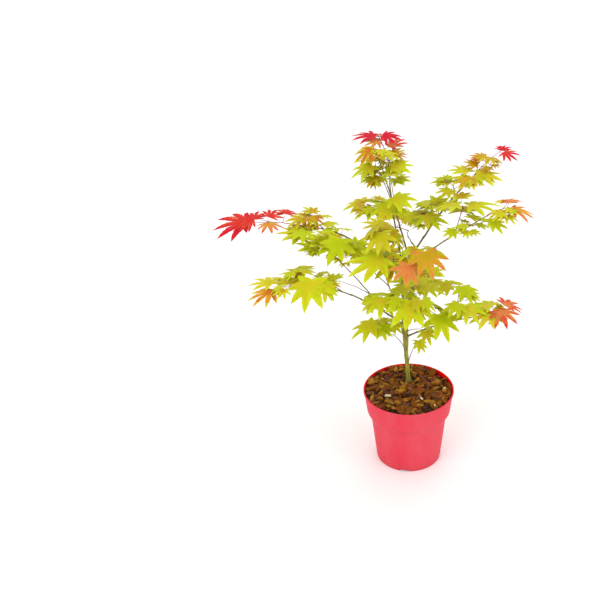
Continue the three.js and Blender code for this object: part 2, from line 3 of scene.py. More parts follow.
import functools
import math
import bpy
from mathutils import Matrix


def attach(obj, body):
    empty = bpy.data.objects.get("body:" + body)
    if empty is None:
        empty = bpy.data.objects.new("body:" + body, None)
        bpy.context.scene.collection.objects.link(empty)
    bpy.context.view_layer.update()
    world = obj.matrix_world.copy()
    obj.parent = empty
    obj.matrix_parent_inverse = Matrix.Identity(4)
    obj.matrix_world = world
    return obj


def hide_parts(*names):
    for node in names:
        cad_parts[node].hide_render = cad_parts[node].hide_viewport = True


bl_info = {
    "name": "Potted japanese maple",
    "version": (1, 0, 0),
    "blender": (4, 5, 0),
    "location": "3D View > Sidebar > Maple",
    "description": "Grows a young palm-leaved maple in autumn tints and pots it up in a red nursery pot",
    "category": "Object",
}

import bpy
import numpy as np
from bpy.props import FloatProperty, FloatVectorProperty, IntProperty, PointerProperty
from mathutils import Matrix, Vector, noise

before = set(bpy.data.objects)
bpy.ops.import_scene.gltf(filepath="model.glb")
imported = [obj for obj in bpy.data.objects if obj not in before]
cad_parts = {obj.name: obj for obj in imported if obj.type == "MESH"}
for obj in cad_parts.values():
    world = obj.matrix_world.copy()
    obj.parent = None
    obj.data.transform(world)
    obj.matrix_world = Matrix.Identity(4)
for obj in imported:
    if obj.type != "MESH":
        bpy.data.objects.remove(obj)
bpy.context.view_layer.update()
BODY = "root"
MM = 0.001

# Trunk stations in millimetres: height, centre x, centre y, radius.
TRUNK = (
    (166.3, 0, 32, 6.6),
    (171, -0.1, 32, 5.2),
    (184, -1.2, 31.6, 4.4),
    (240, -5, 30, 4.5),
    (263, -5.6, 28.4, 5.7),
    (288, -6.4, 27, 6),
    (304, -8.6, 26, 4.9),
    (320, -10, 24.6, 3.3),
    (375, -11, 20, 2.8),
    (412, -13, 16, 3.0),
    (444, -9, 12, 2.6),
    (462, -3, 10, 2.5),
    (476, 1, 8, 2.7),
)

# Limbs: name, the limb each leaves, how far up that, where it ends, its bow up and to its left, and its radii
# at both ends.
LIMBS = (
    ("leader", "trunk", 1, (-50, -10, 684), 0, 6, (2.3, 1.2)),
    ("bough_upright", "trunk", 0.835, (-39, 28, 684), 10, 11, (2.2, 1.2)),
    ("bough_right_top", "trunk", 0.945, (145, 82, 638), 18, 0, (2.5, 1.3)),
    ("bough_right_middle", "trunk", 0.895, (146, -60, 606), 4, -4, (2, 1.1)),
    ("bough_right_low", "trunk", 0.385, (138, -60, 385), 10, -8, (2.2, 1.1)),
    ("bough_left_top", "trunk", 0.785, (-212, 78, 513), 26, -4, (2.3, 1.2)),
    ("bough_left_low", "trunk", 0.525, (-172, -60, 455), 17, 8, (2.5, 1.2)),
    ("branch_left_low", "bough_left_low", 0.24, (-145, 14, 478), 4, 0, (1.7, 1)),
    ("bough_back_left", "trunk", 0.6, (-54, 128, 390), 8, 6, (2, 1.1)),
    ("bough_back_right", "trunk", 0.66, (44, 130, 366), 14, -6, (2, 1.1)),
    ("bough_back_top", "bough_right_top", 0.12, (0, 104, 488), 4, 8, (1.7, 1)),
    ("bough_front", "trunk", 0.58, (6, -66, 428), 8, 6, (1.9, 1.1)),
    ("dead_twig_low", "trunk", 0.25, (-33, -14, 313), 5, 3, (1, 0.7)),
    ("dead_twig_fork", "trunk", 0.955, (-24, 4, 524), 2, -2, (1.1, 0.7)),
)

# Sprays: name, the limb each leaves, how far up that, where its stem ends, the headings of its leaves from
# the tip inwards, length of stalk, middle lobe of the first leaf and of the others, lift of the stalks, and
# droop of the leaves.
SPRAYS = (
    ("left_far", "bough_left_top", 1, (-318, 92, 514), (190, 128, 288, 76), 12, (78, 45), 10, 4),
    ("left_over", "bough_left_top", 0.8, (-202, 92, 529), (225, 297, 145, 95), 18, (38, 34), 6, 0),
    ("left_under", "bough_left_top", 0.88, (-197, 48, 514), (186, 215, 130), 18, (52, 45), 4, 0),
    ("left_middle", "branch_left_low", 1, (-166, 20, 492), (184, 240, 300, 130), 18, (48, 38), 4, -22),
    ("left_inner", "bough_left_top", 0.45, (-132, 16, 508), (249, 177, 317), 14, (62, 46), 0, 22),
    ("left_back", "bough_back_left", 0.55, (-156, 112, 454), (110, 190, 60), 24, (51, 44), 4, -18),
    ("low_left_far", "bough_left_low", 1, (-256, -78, 460), (146, 222, 100), 16, (57, 59), 6, 8),
    ("low_left_over", "bough_left_low", 0.76, (-196, -24, 462), (184, 150, 230), 16, (44, 35), 4, 4),
    ("low_left_front", "bough_left_low", 0.88, (-184, -84, 476), (262, 195, 330), 12, (60, 38), 4, 32),
    ("low_left_thin", "branch_left_low", 0.3, (-138, 6, 426), (184, 150), 14, (36, 30), 2, 13),
    ("low_left_inner", "bough_left_low", 0.34, (-52, -56, 428), (273, 205, 95, 5), 14, (42, 36), 2, 14),
    ("heart_front", "bough_front", 1, (5, -86, 436), (268, 190, 330), 12, (60, 47), 0, 32),
    ("heart_right", "bough_front", 0.55, (54, -58, 388), (300, 10, 60), 14, (56, 38), 2, 28),
    ("heart_back", "trunk", 0.68, (14, -24, 432), (350, 190, 60), 20, (43, 45), 4, 2),
    ("short_left", "trunk", 0.405, (-59, -46, 358), (212, 284, 162), 14, (52, 38), 2, 10),
    ("short_right", "trunk", 0.435, (30, -26, 332), (300, 20), 10, (32, 26), 0, 36),
    ("shoot_low", "trunk", 0.2, (16, -14, 294), (320, 60), 6, (27, 24), 2, 40),
    ("right_inner", "bough_right_low", 0.5, (104, -58, 410), (310, 250, 20), 14, (48, 40), 4, 10),
    ("right_far", "bough_right_low", 1, (178, -62, 400), (50, 318, 258, 160), 14, (50, 46), 12, 12),
    ("right_back", "bough_right_low", 0.72, (101, 0, 416), (298, 178, 38), 18, (48, 36), 4, 6),
    ("crown_left", "trunk", 0.89, (-38, -60, 514), (214, 150, 262, 182), 16, (65, 49), 4, 12),
    ("crown_front", "trunk", 0.94, (2, -100, 526), (262, 330, 200), 12, (42, 36), 2, 32),
    ("crown_right", "bough_right_middle", 0.16, (26, -78, 538), (294, 38, 218, 348), 14, (55, 46), 2, 16),
    ("over_fork", "bough_right_top", 0.3, (26, 30, 564), (310, 25, 165, 75), 14, (48, 40), 4, 0),
    ("right_top_low", "bough_right_top", 0.42, (54, 50, 574), (80, 340, 190), 12, (40, 34), 4, -4),
    ("right_top_over", "bough_right_top", 0.62, (88, 84, 602), (150, 60, 230), 12, (40, 32), 4, -4),
    ("right_top_under", "bough_right_top", 0.76, (124, 54, 634), (346, 268, 140, 60), 14, (50, 46), 8, 0),
    ("right_top_far", "bough_right_top", 0.84, (176, 98, 664), (323, 68, 168, 258, 174), 12, (36, 32), 6, -2),
    ("right_middle_low", "bough_right_middle", 0.5, (140, -84, 606),
     (350, 60, 190, 20, 212), 14, (34, 28), 4, 0),
    ("right_middle_over", "bough_right_middle", 0.62, (104, -28, 608), (10, 180, 90), 14, (62, 52), 4, 0),
    ("right_middle_far", "bough_right_middle", 1, (181, -70, 628), (340, 75, 250), 12, (48, 34), 4, 8),
    ("upright_low", "bough_upright", 0.52, (-78, 24, 588), (158, 88, 218), 12, (52, 44), 4, 4),
    ("upright_middle", "bough_upright", 0.6, (-62, 8, 680), (208, 132, 237, 172), 12, (48, 44), 4, 2),
    ("upright_high", "bough_upright", 0.92, (-34, 12, 696), (84, 6, 324), 10, (30, 32), 4, 0),
    ("upright_top", "bough_upright", 1, (-56, 34, 727), (168, 350, 120, 200, 60), 12, (43, 38), 4, -4),
    ("leader_top", "leader", 1, (-64, -20, 728), (243, 177, 97, 17), 10, (42, 44), 4, 17),
    ("leader_middle", "leader", 0.55, (-36, -24, 684), (5, 300, 340, 60), 12, (40, 34), 24, -16),
    ("leader_low", "leader", 0.4, (-34, -30, 630), (3, 83, 228), 12, (45, 40), 2, 10),
    ("upright_inner", "bough_upright", 0.3, (-52, -26, 556), (262, 190, 120, 330), 12, (48, 42), 2, 33),
    ("back_left", "bough_back_left", 1, (-60, 150, 380), (112, 200, 60, 160), 24, (50, 44), 4, -18),
    ("back_right", "bough_back_right", 1, (26, 150, 336), (70, 0, 140, 200), 24, (55, 48), 24, -12),
    ("back_top", "bough_back_top", 1, (-35, 132, 482), (100, 160, 40, 210), 22, (48, 42), 24, -14),
)
# The sprays of each autumn tint. All others are lime.
TINTED = {
    "crimson": ("left_far", "right_top_far", "upright_top"),
    "coral": ("right_far", "right_middle_far"),
    "ember": ("low_left_far", "upright_high", "leader_top"),
    "amber": ("left_over", "crown_front", "crown_right"),
    "gold": ("right_top_under", "upright_inner", "back_top"),
    "olive": (
        "left_back", "low_left_over", "crown_left", "over_fork",
        "right_middle_over", "upright_low", "upright_middle", "back_left",
    ),
}

# How leaves stand: nodes along a stem, a leaf's cup, its base behind the stalk's end, how far out lobes are
# joined, and the lobes on one side as turn and share of the middle one.
NODE_STEP = 0.3
LEAF_CUP = 0.16
LEAF_BASE = 0.1
JOINED = 0.47
LOBES = ((0, 1), (35, 0.94), (72, 0.8), (114, 0.54))
STEM_BOW = 0.05
STEM_RADII = (1.2, 0.65)
TURN_JITTER = 10
TILT_JITTER = 9
SIZE_JITTER = 0.1
# Swings aside and up that are tried in turn until a leaf fits.
TRIES = ((0, 0), (0, 18), (0, -18), (0, 34), (22, 0), (-22, 0), (22, 26), (-22, 26), (44, 12), (-44, 12))
# Finer twigs on a spray's stem: ranges of their place, heading aside from the stem's, length in first blades,
# lift, bow and sway, their end radii, and the size, headings, stalk, droop and order of the leaves at their
# tips.
SIDE_TWIG = {
    "at": (0.3, 0.95),
    "aside": (35, 100),
    "length": (0.25, 0.5),
    "lift": (0, 26),
    "rise": (0, 2),
    "sway": (-2, 2),
    "radii": (0.75, 0.5),
    "blade": (0.42, 0.6),
    "fan": (0, 58, -62),
    "stalk": 0.7,
    "droop": 2,
    "order": 3,
}
# A shoot of this many leaves or fewer has no side twigs.
SHORT_SHOOT = 2
# Air kept round leaves and stalks, in millimetres, and between leaves of one spray as a share of a blade.
LAYER = 1.8
OWN_LAYER = 1.1
EDGE = 0.5
AIR = 0.8
OWN_SPACING = 0.4
OVER_POT = 176
STALK_RADIUS = 0.55
BALL_STEP = 6
# A spray's room round its stem, in first blades and in millimetres more than a stalk, and how far from a
# leaf's middle, in blades, something may still touch it.
ROOM_BLADES = 1.25
ROOM_MORE = 6
NEAR = 1.1
# Where stalks and lobes are tested for touching, as shares of their length.
STALK_SAMPLES = (0.3, 0.5, 0.7, 0.85, 1.0)
LOBE_SAMPLES = (0.3, 0.55, 0.8)
# The generator's factor and modulus, and how seeds differ from spray to spray and from use to use.
FACTOR = 16807
MODULUS = 2147483647
SPRAY_SEEDS = 977
TINT_SEEDS = 11
SEED_OF = {"boughs": 5, "twigs": 6, "stalks": 7, "side twigs": 31}


def dice(seed):
    """The plain generator behind every seeded choice; each throw is even between two values."""
    state = seed

    def throw(low=0.0, high=1.0):
        nonlocal state
        state = state * FACTOR % MODULUS
        return low + (high - low) * state / MODULUS

    return throw


def unit(vector):
    return vector / np.linalg.norm(vector)


def heading(turn, rise):
    """The direction at a turn from +X towards the back and a rise above level, in degrees."""
    a, b = math.radians(turn), math.radians(rise)
    return np.array((math.cos(b) * math.cos(a), math.cos(b) * math.sin(a), math.sin(b)))


def bow(start, tip, rise, sway):
    """A path that bows up by rise and to its left by sway in its middle."""
    start, run = np.array(start, float), np.array(tip, float) - start
    flat = math.hypot(run[0], run[1]) or 1.0
    aside = np.array((-run[1] / flat * sway, run[0] / flat * sway, rise))
    return lambda t: start + run * t + aside * (4 * t * (1 - t))


def spline(stations):
    """A smooth path through the trunk's stations, which gives height, x, y and radius."""
    rows = np.array(stations, float)
    last = len(rows) - 1

    def at(t):
        whole = min(max(math.floor(t * last), 0), last - 1)
        f = t * last - whole
        a, b, c, d = (rows[min(max(whole + k, 0), last)] for k in (-1, 0, 1, 2))
        return b + 0.5 * f * (c - a + f * (2 * a - 5 * b + 4 * c - d + f * (3 * (b - c) + d - a)))

    return at


class Limb:
    """A limb, stem or twig: a path from 0 to 1, its radii at both ends, and the places of its nodes. A side
    twig has its spray's name."""

    def __init__(self, name, path, radii):
        self.name = name
        self.path = path
        self.radii = radii
        self.nodes = []

    def radius(self, t):
        return self.radii[0] + (self.radii[1] - self.radii[0]) * t

    def toward(self, t):
        return unit(self.path(t + 1e-3) - self.path(t - 1e-3))

    def length(self):
        return float(np.linalg.norm(self.path(1) - self.path(0)))


class Trunk(Limb):
    """The trunk, whose radius follows its stations."""

    def __init__(self):
        self.at = spline(TRUNK)
        super().__init__("trunk", lambda t: self.at(t)[[1, 2, 0]], (TRUNK[0][3], TRUNK[-1][3]))

    def radius(self, t):
        return float(self.at(t)[3])


def tint_of(spray):
    return next((tint for tint, names in TINTED.items() if spray in names), "lime")


class Spray(Limb):
    """A stem with its leaves, which keeps to its own room."""

    def __init__(self, order, row, parent, seed):
        name, _, at, tip, self.fan, self.stalk, self.blades, self.lift, self.droop = row
        self.tint = tint_of(name)
        start = parent.path(at)
        rise = STEM_BOW * np.linalg.norm(start - np.array(tip))
        super().__init__("leaves_" + name, bow(start, tip, rise, 0), STEM_RADII)
        self.room = self.stalk + ROOM_BLADES * self.blades[0] + ROOM_MORE
        self.seed = seed + SPRAY_SEEDS * (order + 1)


class Leaf:
    """A leaf's place: where its stalk starts, its middle, its axes forward, left and up, and its size."""

    def __init__(self, owner, tint, order, start, turn, lift, droop, twist, stalk, blade):
        self.owner = owner
        self.tint = tint
        self.order = order
        self.start = start
        self.middle = start + heading(turn, lift) * stalk
        forward, level = heading(turn, -droop), heading(turn + 90, 0)
        face, tilt = np.cross(forward, level), math.radians(twist)
        left = level * math.cos(tilt) + face * math.sin(tilt)
        self.axes = np.array((forward, left, np.cross(forward, left)))
        self.blade = blade
        turns, shares = SAMPLE_POINTS
        reach, angle = shares * blade, np.radians(turns)
        local = np.stack((reach * np.cos(angle), reach * np.sin(angle), -LEAF_CUP * shares * reach), 1)
        self.points = self.middle + local @ self.axes
        self.stalk_points = start + np.outer(STALK_SAMPLES, self.middle - start)


def all_lobes():
    """Turn and share of every lobe, from the right-hand basal one round to the left-hand one."""
    return [(-turn, share) for turn, share in reversed(LOBES[1:])] + list(LOBES)


def leaf_rim():
    """Turn and share of the rim's points: lobe tips, a notch between each two, and the base at both ends."""
    lobes = all_lobes()
    rim = [(-180, LEAF_BASE)]
    for k, (turn, share) in enumerate(lobes):
        rim.append((turn, share))
        if k + 1 < len(lobes):
            rim.append(((turn + lobes[k + 1][0]) / 2, JOINED * (share + lobes[k + 1][1]) / 2))
    return np.array(rim + [(180, LEAF_BASE)], float)


RIM = leaf_rim()


def sample_points():
    """Places on a leaf that are tested for touching: its middle, its rim, and some along each lobe."""
    places = [(0, 0)] + [tuple(row) for row in RIM[:-1]]
    places += [(turn, share * part) for turn, share in all_lobes() for part in LOBE_SAMPLES]
    return np.array(places, float).T


SAMPLE_POINTS = sample_points()


def touching(points, radius, middles, axes, blades, layer):
    """Whether any point comes within a layer of a leaf's blade. Points and layer are given per leaf."""
    local = np.einsum("npk,nak->npa", points - middles[:, None], axes)
    reach = np.hypot(local[..., 0], local[..., 1])
    height = local[..., 2] + LEAF_CUP * reach**2 / blades[:, None]
    turn = np.degrees(np.arctan2(local[..., 1], local[..., 0]))
    rim = np.interp(turn, RIM[:, 0], RIM[:, 1]) * blades[:, None]
    return bool(np.any((np.abs(height) <= layer + radius) & (reach < rim + EDGE + radius)))


class Crown:
    """What already stands: limbs, stems and stalks as rows of balls, and leaves."""

    def __init__(self):
        self.balls = []
        self.owners = []
        self.leaves = []

    def keep_clear(self, owner, path, radius):
        pieces = math.ceil(np.linalg.norm(path(1) - path(0)) / BALL_STEP)
        for i in range(pieces + 1):
            self.balls.append((*path(i / pieces), radius(i / pieces)))
            self.owners.append(owner)

    def fits(self, leaf, spray, layered):
        """Whether a leaf stays over the pot, in its spray's own room, and clear of all that stands."""
        if leaf.points[:, 2].min() < OVER_POT or self.beyond(leaf, spray):
            return False
        span = [np.linalg.norm(other.middle - leaf.middle) for other in self.leaves]
        near = []
        for other, apart in zip(self.leaves, span):
            own = other.owner == leaf.owner
            if apart > NEAR * (other.blade + leaf.blade):
                continue
            if own and apart < OWN_SPACING * leaf.blade:
                return False
            if layered or not own:
                near.append((other, OWN_LAYER if own else LAYER))
        if near and self.meets(leaf, [other for other, _ in near], np.array([layer for _, layer in near])):
            return False
        return not self.hits_wood(leaf, spray)

    def beyond(self, leaf, spray):
        start, run = spray.path(0), spray.path(1) - spray.path(0)
        share = np.clip((leaf.points - start) @ run / (run @ run), 0, 1)
        return np.linalg.norm(leaf.points - start - np.outer(share, run), axis=1).max() > spray.room

    def meets(self, leaf, others, layers):
        middles = np.array([other.middle for other in others])
        axes = np.array([other.axes for other in others])
        blades = np.array([other.blade for other in others])
        points = np.broadcast_to(leaf.points, (len(others), *leaf.points.shape))
        stalk = np.broadcast_to(leaf.stalk_points, (len(others), *leaf.stalk_points.shape))
        theirs = np.concatenate([other.points for other in others])[None]
        widths = np.repeat(layers, len(leaf.points))[None]
        return (
            touching(points, 0, middles, axes, blades, layers[:, None])
            or touching(stalk, STALK_RADIUS, middles, axes, blades, layers[:, None])
            or touching(theirs, 0, leaf.middle[None], leaf.axes[None], np.array([leaf.blade]), widths)
        )

    def hits_wood(self, leaf, spray):
        balls = np.array([ball for ball, owner in zip(self.balls, self.owners) if owner != leaf.owner])
        far = np.linalg.norm(balls[:, :3] - leaf.middle, axis=1)
        balls = balls[far < NEAR * leaf.blade + spray.stalk]
        if not len(balls):
            return False
        places, radii = balls[:, :3], balls[:, 3]
        blade = np.array([leaf.blade])
        if touching(places[None], radii[None], leaf.middle[None], leaf.axes[None], blade, LAYER):
            return True
        apart = np.linalg.norm(leaf.stalk_points[:, None] - places[None], axis=2)
        return bool(np.any(apart < STALK_RADIUS + radii + AIR))

    def stand(self, leaf):
        self.leaves.append(leaf)
        run = leaf.middle - leaf.start
        self.keep_clear(leaf.owner, lambda t: leaf.start + run * t, lambda t: STALK_RADIUS)


def try_leaf(crown, spray, order, start, throw, turn, stalk, blade, droop):
    """A leaf on its stalk, swung aside until it fits, or nothing where no swing helps."""
    toward = turn + throw(-TURN_JITTER, TURN_JITTER)
    lift = spray.lift + throw(-TILT_JITTER, TILT_JITTER)
    droop += throw(-TILT_JITTER, TILT_JITTER)
    twist = throw(-TILT_JITTER, TILT_JITTER)
    stalk *= 1 + throw(-SIZE_JITTER, SIZE_JITTER)
    blade *= 1 + throw(-SIZE_JITTER, SIZE_JITTER)
    for layered in (True, False):
        for swing, raised in TRIES:
            turned = (toward + swing, lift + raised)
            leaf = Leaf(spray.name, spray.tint, order, start, *turned, droop, twist, stalk, blade)
            if crown.fits(leaf, spray, layered):
                crown.stand(leaf)
                return leaf
    return None


def side_twigs(crown, spray, count):
    """Finer twigs from a spray's stem, each with small leaves at its tip, where there is room for them."""
    throw = dice(spray.seed + SEED_OF["side twigs"])
    run = spray.path(1) - spray.path(0)
    course = math.degrees(math.atan2(run[1], run[0]))
    twigs = []
    for k in range(count):
        at = throw(*SIDE_TWIG["at"])
        turn = course + (1 if k % 2 else -1) * throw(*SIDE_TWIG["aside"])
        length = throw(*SIDE_TWIG["length"]) * spray.blades[0]
        start = spray.path(at)
        end = start + heading(turn, throw(*SIDE_TWIG["lift"])) * length
        path = bow(start, end, throw(*SIDE_TWIG["rise"]), throw(*SIDE_TWIG["sway"]))
        twig = Limb(spray.name, path, SIDE_TWIG["radii"])
        stalk, droop = SIDE_TWIG["stalk"] * spray.stalk, spray.droop + SIDE_TWIG["droop"]
        small = spray.blades[0] * throw(*SIDE_TWIG["blade"])
        grown = [
            try_leaf(crown, spray, SIDE_TWIG["order"], end, throw, turn + swing, stalk, small, droop)
            for swing in SIDE_TWIG["fan"]
        ]
        if any(grown):
            crown.keep_clear(spray.name, twig.path, twig.radius)
            spray.nodes.append(at)
            twigs.append(twig)
    return twigs


@functools.cache
def grown_plant(seed, twigs_a_spray):
    """The whole plant by the seeded rule: its limbs, its sprays, their side twigs and every leaf."""
    limbs = {"trunk": Trunk()}
    for name, source, at, tip, rise, sway, radii in LIMBS:
        limbs[name] = Limb(name, bow(limbs[source].path(at), tip, rise, sway), radii)
    sprays = [Spray(order, row, limbs[row[1]], seed) for order, row in enumerate(SPRAYS)]
    crown = Crown()
    for limb in [*limbs.values(), *sprays]:
        crown.keep_clear(limb.name, limb.path, limb.radius)
    for spray in sprays:
        throw = dice(spray.seed)
        for i, turn in enumerate(spray.fan):
            at = 1 - NODE_STEP * (i // 2)
            blade = spray.blades[min(i, 1)]
            if try_leaf(crown, spray, i, spray.path(at), throw, turn, spray.stalk, blade, spray.droop):
                spray.nodes.append(at)
    longer = [spray for spray in sprays if len(spray.fan) > SHORT_SHOOT]
    twigs = [twig for spray in longer for twig in side_twigs(crown, spray, twigs_a_spray)]
    return limbs, sprays, twigs, crown.leaves


# Shared ways of making meshes


class Heap:
    """Points, faces and finish numbers of many small shapes that become one joined mesh."""

    def __init__(self):
        self.points = []
        self.faces = []
        self.tones = []
        self.count = 0

    def add(self, points, faces, tones):
        self.points.append(np.asarray(points, float))
        self.faces += [tuple(corner + self.count for corner in face) for face in faces]
        self.tones += [tones] * len(faces) if isinstance(tones, int) else tones
        self.count += len(points)

    def piece(self, name, finishes, smooth=40):
        """The joined mesh, from millimetres, with its faces smoothed up to an angle in degrees."""
        mesh = bpy.data.meshes.new(name)
        mesh.from_pydata((np.concatenate(self.points) * MM).tolist(), [], self.faces)
        dress(mesh, *finishes)
        mesh.polygons.foreach_set("material_index", np.array(self.tones, np.int32))
        mesh.update()
        return smoothed(placed(name, mesh), smooth)


def placed(name, data):
    """A new object in the scene, with its data."""
    thing = bpy.data.objects.new(name, data)
    bpy.context.scene.collection.objects.link(thing)
    return thing


def dress(mesh, *finishes):
    """Gives a mesh these materials and no others."""
    mesh.materials.clear()
    for finish in finishes:
        mesh.materials.append(finish)


def choose(piece):
    bpy.ops.object.select_all(action="DESELECT")
    piece.select_set(True)
    bpy.context.view_layer.objects.active = piece


def smoothed(piece, degrees):
    choose(piece)
    bpy.ops.object.shade_smooth_by_angle(angle=math.radians(degrees))
    return piece


def applied(piece, kind, **values):
    """Adds a modifier of a kind, sets its values and applies it."""
    choose(piece)
    modifier = piece.modifiers.new(kind.lower(), kind)
    for name, value in values.items():
        setattr(modifier, name, value)
    bpy.ops.object.modifier_apply(modifier=modifier.name)


def keep(piece, slot, *nodes):
    """Puts a finished piece on the plant's one body, in place of its CAD nodes."""
    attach(piece, BODY)
    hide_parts(*nodes)


def lofted(name, sides, stations):
    """A closed shape drawn up from a disc, ring by ring. A station is x, y, z and radius in millimetres."""
    bpy.ops.object.select_all(action="DESELECT")
    x, y, z, radius = stations[0]
    bpy.ops.mesh.primitive_circle_add(
        vertices=sides, radius=radius * MM, fill_type="NGON", location=(x * MM, y * MM, z * MM)
    )
    piece = bpy.context.object
    piece.name = piece.data.name = name
    bpy.ops.object.transform_apply(location=True, rotation=True, scale=True)
    bpy.ops.object.mode_set(mode="EDIT")
    bpy.ops.mesh.select_all(action="SELECT")
    for before, after in zip(stations, stations[1:]):
        step = [(b - a) * MM for a, b in zip(before[:3], after[:3])]
        bpy.ops.mesh.extrude_region_move(TRANSFORM_OT_translate={"value": step})
        share = after[3] / before[3]
        middle = [c * MM for c in after[:3]]
        bpy.ops.transform.resize(value=(share, share, 1), center_override=middle)
    bpy.ops.mesh.select_all(action="SELECT")
    bpy.ops.mesh.normals_make_consistent(inside=False)
    bpy.ops.object.mode_set(mode="OBJECT")
    return piece


def cut(piece, tool):
    """Cuts a tool out of a piece and removes the tool."""
    applied(piece, "BOOLEAN", operation="DIFFERENCE", solver="EXACT", object=tool)
    bpy.data.objects.remove(tool)


def tube(centres, radii, sides):
    """Points and faces of a closed round tube along a line of centres, with a radius for each ring."""
    centres = np.asarray(centres, float)
    along = np.gradient(centres, axis=0)
    along /= np.linalg.norm(along, axis=1)[:, None]
    side = unit(np.cross(along[0], (0.31, 0.95, 0.05) if abs(along[0][2]) > 0.7 else (0.05, 0.03, 1)))
    angle = np.linspace(0, 2 * math.pi, sides, endpoint=False)
    rings = []
    for middle, forward, radius in zip(centres, along, radii):
        side = unit(side - forward * (side @ forward))
        ring = middle + np.outer(radius * np.cos(angle), side)
        rings.append(ring + np.outer(radius * np.sin(angle), np.cross(forward, side)))
    faces = []
    for i in range(len(rings) - 1):
        low, high = i * sides, (i + 1) * sides
        faces += [(low + k, low + (k + 1) % sides, high + (k + 1) % sides, high + k) for k in range(sides)]
    last = (len(rings) - 1) * sides
    faces += [tuple(range(sides - 1, -1, -1)), tuple(range(last, last + sides))]
    return np.concatenate(rings), faces


def hash_noise(point, scale, seed=0):
    """Smooth noise from -1 to 1 at a place in millimetres."""
    x, y, z = (c / scale for c in point)
    return noise.noise(Vector((x + seed, y - seed, z + 2 * seed)))


def bell(away, width):
    """A smooth rise to 1 at its middle, by how far away a place is."""
    return math.exp(-((away / width) ** 2))


# Shared ways of making finishes


def srgb(red, green, blue):
    """A colour of 0 to 255 as it shows on a screen, as the linear colour that a shader takes."""
    shares = (c / 255 for c in (red, green, blue))
    return tuple(c / 12.92 if c <= 0.04045 else ((c + 0.055) / 1.055) ** 2.4 for c in shares)


def opaque(colour):
    return (*colour[:3], 1.0)


def shaded(tone, share):
    return tuple(c * share for c in tone)


def between(first, second, share):
    return tuple(a + (b - a) * share for a, b in zip(first, second))


def add_node(tree, kind, **values):
    node = tree.nodes.new(kind)
    for name, value in values.items():
        if name in node.inputs:
            node.inputs[name].default_value = value
        else:
            setattr(node, name, value)
    return node


# How high patches stand in the mottle's bump, as a share of the grain.
PATCH_HEIGHT = 0.6


@functools.cache
def mottle():
    """The shared effect of uneven natural or moulded surfaces: soft patches and a finer grain on them.
    It puts out a mask of the patches, a mask of the grain, and a height for bump."""
    tree = bpy.data.node_groups.new("mottle", "ShaderNodeTree")
    for name, kind, value in (
        ("Place", "NodeSocketVector", (0, 0, 0)),
        ("Stretch", "NodeSocketVector", (1, 1, 1)),
        ("Patch scale", "NodeSocketFloat", 40.0),
        ("Grain scale", "NodeSocketFloat", 300.0),
        ("Contrast", "NodeSocketFloat", 0.15),
    ):
        socket = tree.interface.new_socket(name, in_out="INPUT", socket_type=kind)
        socket.default_value = value
    for name in ("Patches", "Grain", "Height"):
        tree.interface.new_socket(name, in_out="OUTPUT", socket_type="NodeSocketFloat")
    link, given = tree.links.new, tree.nodes.new("NodeGroupInput")
    result = tree.nodes.new("NodeGroupOutput")
    stretched = add_node(tree, "ShaderNodeVectorMath", operation="MULTIPLY")
    link(given.outputs["Place"], stretched.inputs[0])
    link(given.outputs["Stretch"], stretched.inputs[1])
    limits = []
    for operation in ("SUBTRACT", "ADD"):
        limit = add_node(tree, "ShaderNodeMath", operation=operation)
        limit.inputs[0].default_value = 0.5
        link(given.outputs["Contrast"], limit.inputs[1])
        limits.append(limit.outputs[0])
    masks = []
    for scale, detail in (("Patch scale", 3.0), ("Grain scale", 5.0)):
        cloud = add_node(tree, "ShaderNodeTexNoise", Detail=detail, Roughness=0.6)
        link(stretched.outputs[0], cloud.inputs["Vector"])
        link(given.outputs[scale], cloud.inputs["Scale"])
        spread = add_node(tree, "ShaderNodeMapRange", interpolation_type="SMOOTHSTEP")
        link(cloud.outputs["Fac"], spread.inputs["Value"])
        link(limits[0], spread.inputs["From Min"])
        link(limits[1], spread.inputs["From Max"])
        masks.append(spread.outputs["Result"])
    height = add_node(tree, "ShaderNodeMath", operation="MULTIPLY_ADD")
    height.inputs[1].default_value = PATCH_HEIGHT
    link(masks[0], height.inputs[0])
    link(masks[1], height.inputs[2])
    for source, name in ((masks[0], "Patches"), (masks[1], "Grain"), (height.outputs[0], "Height")):
        link(source, result.inputs[name])
    return tree


